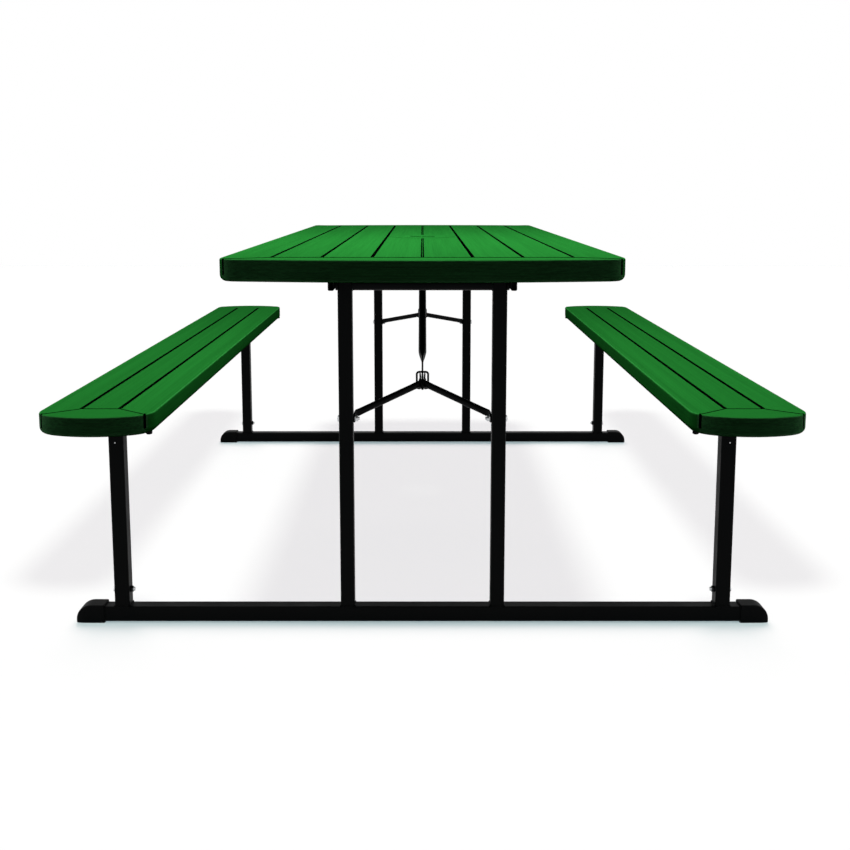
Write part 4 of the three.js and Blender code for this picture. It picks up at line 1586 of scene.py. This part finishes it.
    def build_foot_cap(self, side: Side) -> None:
        """Makes a moulded foot cap: a block with softened edges that comes down in a round nose.

        Args:
            side: Where it is drawn at the near end.
        """
        near, here = self.end.labels(side)
        low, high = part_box(near + "_foot_cap")
        inner, outer = (side.value * x for x in inner_outer(near + "_foot_cap", side))
        height, half = high.z - low.z, (high.y - low.y) / 2
        y = (low.y + high.y) / 2
        nose, lip = self.nose_round, self.cap_lip
        stations = [(inner, height - lip, half - lip)]
        stations += [(x, height, half) for x in (inner + lip, outer - nose)]
        for cos, sin in arc(0, 1, 12)[1:]:
            pull = self.nose_pull * (1 - cos) ** self.nose_curve
            stations.append((outer - nose * (1 - sin), height - nose * (1 - cos), half - pull))
        rings = []
        for x, tall, wide in stations:
            edge = min(self.cap_edge, tall / 2 - self.cap_flat)
            section = rounded_rectangle(wide, tall / 2, edge, steps=4)
            rings.append([Vector((side.value * x, y + a, low.z + tall / 2 + b)) for a, b in section])
        self.make(here + "_foot_cap_moulding", skin(rings), MOULDED_BLACK, [here + "_foot_cap"])

    def build_arm_bolt(self, side: Side) -> None:
        """Makes the bolt in a leg that carries a brace arm, its round head outside.

        Args:
            side: Where it is drawn at the near end.
        """
        near, here = self.end.labels(side)
        inner, outer = inner_outer(near + "_arm_bolt", side)
        tall = side.value * self.arm_head_height
        steps = [(self.bolt_radius, inner), (self.bolt_radius, outer - tall)]
        steps += head(ROUND_HEAD, self.bolt_head, tall, outer - tall)
        bolt = turned(steps, Axis.X, cross_axis(near + "_arm_bolt"))
        self.make(here + "_arm_bolt_steel", bolt, ZINC_PLATE, [here + "_arm_bolt"])

    def build_post_bolt(self, side: Side) -> None:
        """Makes the bolt through a post's foot, with its nut and thread towards the table.

        Args:
            side: Where it is drawn at the near end.
        """
        near, here = self.end.labels(side)
        at = cross_axis(near + "_post_bolt")
        inner, outer = inner_outer(near + "_post_bolt", side)
        face_in, face_out = inner_outer(near + "_bench_post", side)
        steps = thread(inner, face_in, self.bolt_radius) + [(self.post_shank, face_out)]
        edge = face_out + side.value * self.post_head_edge
        steps += [(self.bolt_head, face_out), (self.bolt_head, edge)]
        steps += [(self.post_head_flat, outer), (self.post_socket, outer)]
        bolt = turned(steps, Axis.X, at, sides=24)
        self.make(here + "_post_bolt_steel", bolt, ZINC_PLATE, [here + "_post_bolt"])
        steps = nut(face_in, face_in - side.value * self.post_nut_height, *self.post_nut_size)
        self.make(here + "_post_nut", turned(steps, Axis.X, at, sides=6), BLACK_ZINC)


@dataclass
class Brace:
    """One end's brace: two arms from the legs to an elbow, a link to the top and a lock ring."""

    end: End
    plate: float = 3 * MM
    plate_gap: float = 0.8 * MM
    play: float = 0.3 * MM
    arm_radius: float = 7 * MM
    arm_eye: float = 8 * MM
    arm_steps: int = 70
    eye_run: float = 18 * MM
    elbow_run: float = 13 * MM
    settle_run: float = 12 * MM
    bend_reach: float = 7 * MM
    bend_ease: float = 1.8 * MM
    horn: float = 16 * MM
    horn_start: float = 0.3
    horn_rise: float = 7 * MM
    horn_flare: float = 1.6 * MM
    knuckle_drop: float = 3.5 * MM
    pin_radius: float = 3 * MM
    pin_head: float = 6 * MM
    pin_past: float = 2.8 * MM
    washer_radius: float = 7.6 * MM
    washer_height: float = 1 * MM
    nut_height: float = 6 * MM
    nut_size: tuple[float, float, float] = (6.8 * MM, 5.6 * MM, 0.6 * MM)
    thread_radius: float = 3.4 * MM
    shank_radius: float = 3 * MM
    link_plate: float = 4 * MM
    link_tail: float = 29 * MM
    tail_swell: float = 1.3 * MM
    swell_near: tuple[float, float] = (-8 * MM, -13 * MM)
    swell_far: tuple[float, float] = (-26 * MM, -19 * MM)
    past_pivot: float = 9 * MM
    link_radius: float = 9 * MM
    link_eye: float = 9.5 * MM
    link_elbow_run: float = 80 * MM
    link_anchor_run: float = 40 * MM
    link_taper: float = 40 * MM
    tail_steps: int = 18
    taper_steps: int = 14
    tip_steps: int = 8
    least_tip: float = 0.04
    ring_room: tuple[float, float] = (1 * MM, 3 * MM)
    ring_corner: float = 6 * MM
    wire: float = 2.3 * MM
    sides: int = 24

    def __post_init__(self) -> None:
        """Takes the brace's pivots from the joints of the near end."""
        self.elbow = joint_place("near_elbow")
        reach = self.elbow - cross_axis("near_right_arm_bolt")
        self.arm_reach = reach.length
        self.arm_angle = math.atan2(reach.z, reach.y)
        span = joint_place("near_link_swing") - self.elbow
        self.link_length = span.length
        self.link_angle = math.atan2(span.z, span.y)
        self.eye_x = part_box("near_right_leg")[0].x - self.play - self.plate / 2

    def make(self, node: str, kind: str, bm: Shape, angle: float, finish: Finish, body: str) -> None:
        """Finishes a piece that was drawn with the elbow as its origin and Y along it.

        Args:
            node: The solid that it stands for.
            kind: Last part of the piece's name.
            bm: Its surface.
            angle: How far Y is tipped up.
            finish: Its finish.
            body: Last part of the name of its body.
        """
        place = self.end.turn() @ Matrix.Translation(self.elbow) @ Matrix.Rotation(angle, 4, "X")
        finish_piece(f"{node}_{kind}", bm, finish, f"{self.end.value}_{body}", [node], place=place)

    def loft(self, stations: Iterable[tuple[Vector, float, float, float]]) -> Shape:
        """Covers sections square to Y, round where the tube is whole and slab-sided where it is flat.

        Args:
            stations: Middle, half width across, half height and flatness of each section.

        Returns:
            The closed tube.
        """
        rings = []
        for centre, wide, tall, flat in stations:
            power = 1 / (1 + 2 * flat)
            ring = []
            for a, b in circle(1, self.sides):
                across = math.copysign(abs(a) ** power, a)
                up = math.copysign(abs(b) ** power, b)
                ring.append(centre + Vector((wide * across, 0, tall * up)))
            rings.append(ring)
        return skin(rings)

    def tip(self, from_end: float, eye: float) -> float:
        """Returns how much of its height a round end has at a distance from its tip."""
        return math.sqrt(max(1 - (1 - min(from_end / eye, 1.0)) ** 2, self.least_tip))

    def build(self) -> None:
        """Makes all the pieces of the brace."""
        for side in Side:
            self.build_arm(side)
            self.build_nut(side)
        half = 1.5 * self.plate + self.plate_gap + self.pin_past
        pin = rivet(ORIGIN, -half, half, self.pin_radius, self.pin_head)
        self.make(self.end.value + "_elbow_rivet", "pin", pin, self.arm_angle, BLACK_ZINC, "arms")
        self.build_link()
        self.build_ring()

    def build_arm(self, side: Side) -> None:
        """Makes a bent tube that is pressed flat at the leg and at the elbow.

        Args:
            side: Where it is drawn at the near end.
        """
        thin, eye, plate_x = self.plate / 2, self.arm_eye, self.plate + self.plate_gap
        bend_leg, bend_elbow = -self.arm_reach + self.eye_run, -self.elbow_run
        slope = (self.eye_x - plate_x) / (bend_elbow - bend_leg)
        slant = self.arm_radius * math.hypot(1, slope)
        start, stop = -self.arm_reach - self.past_pivot, self.horn
        stations = []
        for i in range(self.arm_steps + 1):
            y = start + (stop - start) * i / self.arm_steps
            x = min(max(plate_x + (bend_elbow - y) * slope, plate_x), self.eye_x)
            for bend, toward in ((bend_leg, -1), (bend_elbow, 1)):
                near_bend = max(1 - abs(y - bend) / self.bend_reach, 0)
                x += toward * slope * self.bend_ease * near_bend**2
            flat = 1 - smoothstep(bend_leg - thin, bend_leg + self.settle_run, y)
            flat = max(flat, smoothstep(bend_elbow - self.settle_run, bend_elbow, y))
            lift = smoothstep(self.horn_start * self.horn, self.horn, y)
            knuckle = smoothstep(bend_elbow - self.settle_run, bend_elbow + thin, y) * (1 - lift)
            drop = self.knuckle_drop * knuckle
            wide = slant + (thin - slant) * flat
            tall = self.arm_radius + (eye - self.arm_radius) * flat
            tall *= self.tip(min(y - start, stop - y), eye)
            across = side.value * (x + self.horn_flare * lift)
            centre = Vector((across, y, self.horn_rise * lift - drop))
            stations.append((centre, wide, tall + drop, flat))
        node = self.end.label(side) + "_brace_arm"
        self.make(node, "tube", self.loft(stations), self.arm_angle, POWDER_COAT, "arms")

    def build_nut(self, side: Side) -> None:
        """Makes the nut, washer and thread end on the inner side of an arm's eye.

        Args:
            side: Where it is drawn at the near end.
        """
        near, here = self.end.labels(side)
        sign, tip = side.value, inner_outer(near + "_arm_nut", side)[0]
        face = sign * (self.eye_x - self.plate / 2 - self.play)
        washer_end, nut_end = face - sign * self.washer_height, face - sign * self.nut_height
        washer = [(self.washer_radius, face), (self.washer_radius, washer_end)]
        bolt = thread(tip, nut_end, self.thread_radius)
        bolt.append((self.shank_radius, sign * (self.eye_x + self.plate / 2)))
        at = Vector((0, -self.arm_reach, 0))
        pieces = ((washer, 32), (nut(washer_end, nut_end, *self.nut_size), 6), (bolt, 20))
        steel = joined([turned(steps, Axis.X, at, sides) for steps, sides in pieces])
        self.make(here + "_arm_nut", "steel", steel, self.arm_angle, ZINC_PLATE, "arms")

    def build_link(self) -> None:
        """Makes the link, a tube pressed flat at both ends, with a thick tail that fills the elbow."""
        thin, radius, taper = self.link_plate / 2, self.link_radius, self.link_taper
        start, stop = -self.link_tail, self.link_length + self.past_pivot
        anchor_flat = self.link_length - self.link_anchor_run
        shares = [i / self.taper_steps for i in range(-1, self.taper_steps + 2)]
        places = [start + self.link_tail * i / self.tail_steps for i in range(self.tail_steps + 1)]
        places += [self.link_elbow_run + taper * share for share in shares]
        places += [anchor_flat - taper * (1 - share) for share in shares]
        places += [stop - self.past_pivot * i / self.tip_steps for i in reversed(range(self.tip_steps))]
        stations = []
        for y in places:
            flat = 1 - smoothstep(self.link_elbow_run, self.link_elbow_run + taper, y)
            flat = max(flat, smoothstep(anchor_flat - taper, anchor_flat, y))
            at_anchor = smoothstep(anchor_flat, self.link_length, y)
            eye = self.link_eye + (self.arm_eye - self.link_eye) * at_anchor
            swell = smoothstep(*self.swell_near, y) * smoothstep(*self.swell_far, y)
            wide = radius + (thin - radius) * flat + self.tail_swell * swell
            tall = (radius + (eye - radius) * flat) * self.tip(min(y - start, stop - y), eye)
            stations.append((ALONG * y, wide, tall, flat))
        node = self.end.value + "_brace_link"
        self.make(node, "tube", self.loft(stations), self.link_angle, POWDER_COAT, "link")

    def build_ring(self) -> None:
        """Makes the lock ring, a bent wire loop round the elbow."""
        centre = middle("near_lock_ring") - self.elbow
        at = ALONG * (centre.y * math.cos(self.link_angle) + centre.z * math.sin(self.link_angle))
        half_x = self.link_radius + self.ring_room[0] + self.wire
        half_z = self.link_eye + self.ring_room[1] + self.wire
        corners = rounded_rectangle(half_x, half_z, self.ring_corner, steps=8)
        path = []
        for i, (a, b) in enumerate(corners):
            ahead, behind = corners[(i + 1) % len(corners)], corners[i - 1]
            way = Vector((ahead[0] - behind[0], 0, ahead[1] - behind[1])).normalized()
            path.append((at + Vector((a, 0, b)), Vector((way.z, 0, -way.x)), ALONG, self.wire))
        ring = wire_loop(path, sides=12)
        self.make(self.end.value + "_lock_ring", "wire", ring, self.link_angle, POWDER_COAT, "ring")


@dataclass
class BenchSlide:
    """A moulded slide on a post's pin: a shoe in the bench's track and a lug down into the post."""

    end: End
    side: Side
    shoe_height: float = 7.2 * MM
    lug_half: float = 10.4 * MM
    lug_thickness: float = 12 * MM
    lug_round: float = 8 * MM
    lug_root: float = 1 * MM
    lug_steps: int = 14
    bevel: float = 0.8 * MM
    pin_radius: float = 4 * MM
    pin_head: float = 6.5 * MM

    def build(self) -> None:
        """Makes the slide and its pin."""
        near, here = self.end.labels(self.side)
        low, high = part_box(near + "_bench_slide")
        pin_low, pin_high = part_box(near + "_slide_pin")
        pin = (pin_low + pin_high) / 2
        shoe_low, half = high.z - self.shoe_height, self.lug_thickness / 2
        shoe = box((low.x, low.y, shoe_low), high)
        profile = [(pin.y + half, shoe_low + self.lug_root)]
        for i, (cos, sin) in enumerate(arc(0, -2, self.lug_steps)):
            wide = half if i in (0, self.lug_steps) else self.lug_round
            profile.append((pin.y + wide * cos, pin.z + self.lug_round * sin))
        profile.append((pin.y - half, shoe_low + self.lug_root))
        lug = prism(profile, Axis.X, pin.x - self.lug_half, pin.x + self.lug_half)
        steel = rivet(pin, pin_low.x, pin_high.x, self.pin_radius, self.pin_head)
        for name, node, bm, finish, bevel in (
            ("_slide_moulding", "_bench_slide", joined([shoe, lug]), MOULDED_BLACK, self.bevel),
            ("_slide_pin_steel", "_slide_pin", steel, ZINC_PLATE, 0.0),
        ):
            nodes = [here + node]
            finish_piece(here + name, bm, finish, here + "_slide", nodes, bevel=bevel, place=self.end.turn())


@dataclass
class Bench:
    """A bench: its moulded slab, the tracks let into its underside and the pads at its inner corners."""

    side: Side
    planks: int = 3
    bow: float = 31 * MM
    groove_width: float = 6 * MM
    slit_inset: float = 13 * MM
    track_wall: float = 2.5 * MM
    track_slot: float = 24.75 * MM
    track_bevel: float = 0.5 * MM
    pocket_room: float = 0.3 * MM
    pocket_past: float = 2 * MM
    pad_radius: float = 6 * MM
    pad_inset: tuple[float, float] = (9 * MM, 14 * MM)

    def __post_init__(self) -> None:
        """Sets out the bench's name, body and slab."""
        self.name = self.side.label()
        self.body = self.name + "_seat"
        self.slab = PlankSlab(
            self.name + "_bench",
            self.body,
            self.planks,
            self.bow,
            self.groove_width,
            "plank_green_bench",
            slit_inset=self.slit_inset,
        )

    def build(self) -> None:
        """Makes all the pieces of the bench."""
        pockets = []
        room = Vector((self.pocket_room,) * 3)
        for end in End:
            node = f"{end.value}_{self.name}_track"
            low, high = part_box(node)
            pockets.append(box((*(low - room).xy, self.slab.low.z - self.pocket_past), high + room))
            self.build_track(node)
        self.slab.build(pockets)
        self.build_pads()

    def build_track(self, node: str) -> None:
        """Makes a steel channel with lips, open downwards.

        Args:
            node: The solid that it stands for.
        """
        low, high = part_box(node)
        wall, x = self.track_wall, (low.x + high.x) / 2
        half, slot = (high.x - low.x) / 2, self.track_slot / 2
        right = [(half, high.z), (half, low.z), (slot, low.z), (slot, low.z + wall)]
        right += [(half - wall, low.z + wall), (half - wall, high.z - wall)]
        channel = prism([(x + a, b) for a, b in mirrored(right)], Axis.Y, low.y, high.y)
        finish_piece(node + "_channel", channel, POWDER_COAT, self.body, [node], bevel=self.track_bevel)

    def build_pads(self) -> None:
        """Makes the small black pads under the bench's inner corners."""
        x = inner_outer(self.slab.node, self.side)[0] + self.side.value * self.pad_inset[0]
        for end, way in zip(End, SIGNS):
            at = Vector((x, way * (self.slab.corner[1] - self.pad_inset[1]), self.slab.low.z))
            pad = turned(head(PAD_HEAD, self.pad_radius, self.pad_radius), Axis.Z, at, sides=24)
            finish_piece(f"{end.value}_{self.name}_corner_pad", pad, MOULDED_BLACK, self.body)


class Lights(Enum):
    """What a lamp lights, with the state of its link to the floor."""

    FLOOR = "INCLUDE"
    TABLE = "EXCLUDE"


@dataclass(frozen=True)
class Panel:
    """A soft rectangular lamp that lights the table alone."""

    name: str
    place: tuple[float, float, float]
    aim: tuple[float, float, float]
    size: tuple[float, float]
    power: float


@dataclass(frozen=True)
class Sun:
    """A broad light overhead, angles in degrees.

    It shines towards the far end by its tilt and towards the left side by its swing. One that has blockers,
    the endings of the names of pieces, lights the floor alone, and only these pieces shade it. One that has
    none lights all but the floor.
    """

    name: str
    strength: float
    angle: float
    tilt: float
    swing: float = 0.0
    colour: Colour = (1.0, 1.0, 1.0)
    blockers: tuple[str, ...] = ()


@dataclass
class Studio:
    """A pale floor, soft light from above and both sides, and the photograph's camera."""

    floor_half: float = 9.0
    floor_drop: float = 0.4 * MM
    floor_base: float = 20 * MM
    lens: float = 43.09
    sensor: float = 36.0
    shift_x: float = 0.003
    shift_y: float = -0.1203
    camera_place: tuple[float, float, float] = (0.0, -2.7597, 0.8851)
    camera_pitch: float = 7.5
    ambient: float = 0.016
    bounce: float = 0.004
    floor_glow: Colour = (0.010, 0.080, 0.127)
    floor_shade: Colour = (0.20, 0.21, 0.195)
    sky: Sun = Sun("sky", 0.68, 25.0, -20.0)
    panels: tuple[Panel, ...] = (
        Panel("overhead_near", (0, -0.39, 1.9), (0, -0.56, 0.6), (0.5, 1.0), 12.2),
        Panel("overhead_far", (0, 0.9, 2.1), (0, 0.35, 0.6), (0.5, 1.0), 3.3),
        Panel("left_side", (-2.6, -0.6, 1.5), (0, -0.6, 0.7), (0.8, 2.0), 9.5),
        Panel("right_side", (2.6, -0.6, 1.5), (0, -0.6, 0.7), (0.8, 2.0), 9.5),
    )
    floor_suns: tuple[Sun, ...] = (
        Sun("floor_light", 3.0, 9.0, 13.0, blockers=("tabletop_shell", "_tube")),
        Sun("left_bench_light", 3.35, 9.0, 34.6, 23.8, blockers=("left_bench_shell",)),
        Sun("right_bench_light", 3.35, 9.0, 34.6, -23.8, blockers=("right_bench_shell",)),
        Sun(
            "contact_light", 10.1, 60.0, -40.0, colour=(1.0, 0.76, 0.80),
            blockers=("_floor_rail_tube", "_foot_cap_moulding"),
        ),
    )

    def build(self) -> None:
        """Sets the stage."""
        scene = bpy.context.scene
        scene.view_settings.view_transform = "Standard"
        self.build_camera(scene)
        self.build_world(scene)
        self.build_floor()
        self.build_sun(self.sky)
        for panel in self.panels:
            self.build_panel(panel)

    def build_camera(self, scene: bpy.types.Scene) -> None:
        """Places the camera.

        Args:
            scene: The scene that it films.
        """
        data = bpy.data.cameras.new("camera")
        data.sensor_width = self.sensor
        data.lens = self.lens
        data.shift_x = self.shift_x
        data.shift_y = self.shift_y
        camera = bpy.data.objects.new("camera", data)
        camera.location = self.camera_place
        camera.rotation_euler = (math.radians(90 - self.camera_pitch), 0, 0)
        scene.collection.objects.link(camera)
        scene.camera = camera

    def build_world(self, scene: bpy.types.Scene) -> None:
        """Makes a world that shows white and lights softly.

        Args:
            scene: The scene that it surrounds.
        """
        world = bpy.data.worlds.new("studio")
        world.use_nodes = True
        scene.world = world
        kit = NodeKit(world.node_tree)
        sky = world.node_tree.nodes["Background"].inputs
        kit.feed(sky["Strength"], kit.mix(Mix.FLOAT, kit.seen(), self.ambient, 1.0))
        sky["Color"].default_value = (1.0, 1.0, 1.0, 1.0)

    def build_floor(self) -> None:
        """Makes the floor, white to look at with pale shadows, and dim as a source of light."""
        size = self.floor_half
        slab = box((-size, -size, -self.floor_base), (size, size, -self.floor_drop))
        self.floor = new_object("floor", slab)
        material = bpy.data.materials.new("pale_floor")
        material.use_nodes = True
        kit = NodeKit(material.node_tree)
        surface = material.node_tree.nodes["Principled BSDF"].inputs
        seen = kit.seen()
        dim = (self.bounce, self.bounce, self.bounce, 1.0)
        kit.feed(surface["Base Color"], kit.mix(Mix.RGBA, seen, dim, (*self.floor_shade, 1.0)))
        surface["Emission Color"].default_value = (*self.floor_glow, 1.0)
        kit.feed(surface["Emission Strength"], seen)
        surface["Roughness"].default_value = 1.0
        surface["Specular IOR Level"].default_value = 0.0
        self.floor.data.materials.append(material)

    def hang(self, data: bpy.types.Light, lights: Lights) -> bpy.types.Object:
        """Puts a lamp into the scene.

        Args:
            data: The lamp.
            lights: What it lights.

        Returns:
            The lamp's object.
        """
        lamp = bpy.data.objects.new(data.name, data)
        lamp.visible_camera = False
        bpy.context.scene.collection.objects.link(lamp)
        lit = bpy.data.collections.new(data.name + "_lights")
        lit.objects.link(self.floor)
        lit.collection_objects[0].light_linking.link_state = lights.value
        lamp.light_linking.receiver_collection = lit
        return lamp

    def build_sun(self, sun: Sun) -> None:
        """Hangs a broad light overhead, and lets only its blockers stand in it.

        Args:
            sun: The light.
        """
        data = bpy.data.lights.new(sun.name, "SUN")
        data.energy = sun.strength
        data.angle = math.radians(sun.angle)
        data.color = sun.colour
        lamp = self.hang(data, Lights.FLOOR if sun.blockers else Lights.TABLE)
        lamp.rotation_euler = (math.radians(sun.tilt), math.radians(sun.swing), 0)
        if sun.blockers:
            blockers = bpy.data.collections.new(sun.name + "_blockers")
            for thing in bpy.data.objects:
                if thing.name.endswith(sun.blockers):
                    blockers.objects.link(thing)
            lamp.light_linking.blocker_collection = blockers

    def build_panel(self, panel: Panel) -> None:
        """Hangs a soft panel that lights the table alone.

        Args:
            panel: The panel.
        """
        area = bpy.data.lights.new(panel.name, "AREA")
        area.shape = "RECTANGLE"
        area.size, area.size_y = panel.size
        area.energy = panel.power
        lamp = self.hang(area, Lights.TABLE)
        lamp.location = panel.place
        aim = Vector(panel.aim) - lamp.location
        lamp.rotation_euler = aim.to_track_quat("-Z", "Y").to_euler()

    def light_floor(self) -> None:
        """Lights the floor: the top and frames, each bench and the feet all have a light that they shade."""
        for sun in self.floor_suns:
            self.build_sun(sun)


def main() -> None:
    """Builds the stage and the table, sub-assembly by sub-assembly, and lights the floor last."""
    logging.basicConfig(level=logging.INFO, format="%(name)s: %(message)s")
    studio = Studio()
    studio.build()
    TableTop().build()
    for end in End:
        EndFrame(end).build()
        Brace(end).build()
        for side in Side:
            BenchSlide(end, side).build()
    for side in Side:
        Bench(side).build()
    studio.light_floor()


if __name__ == "__main__":
    main()
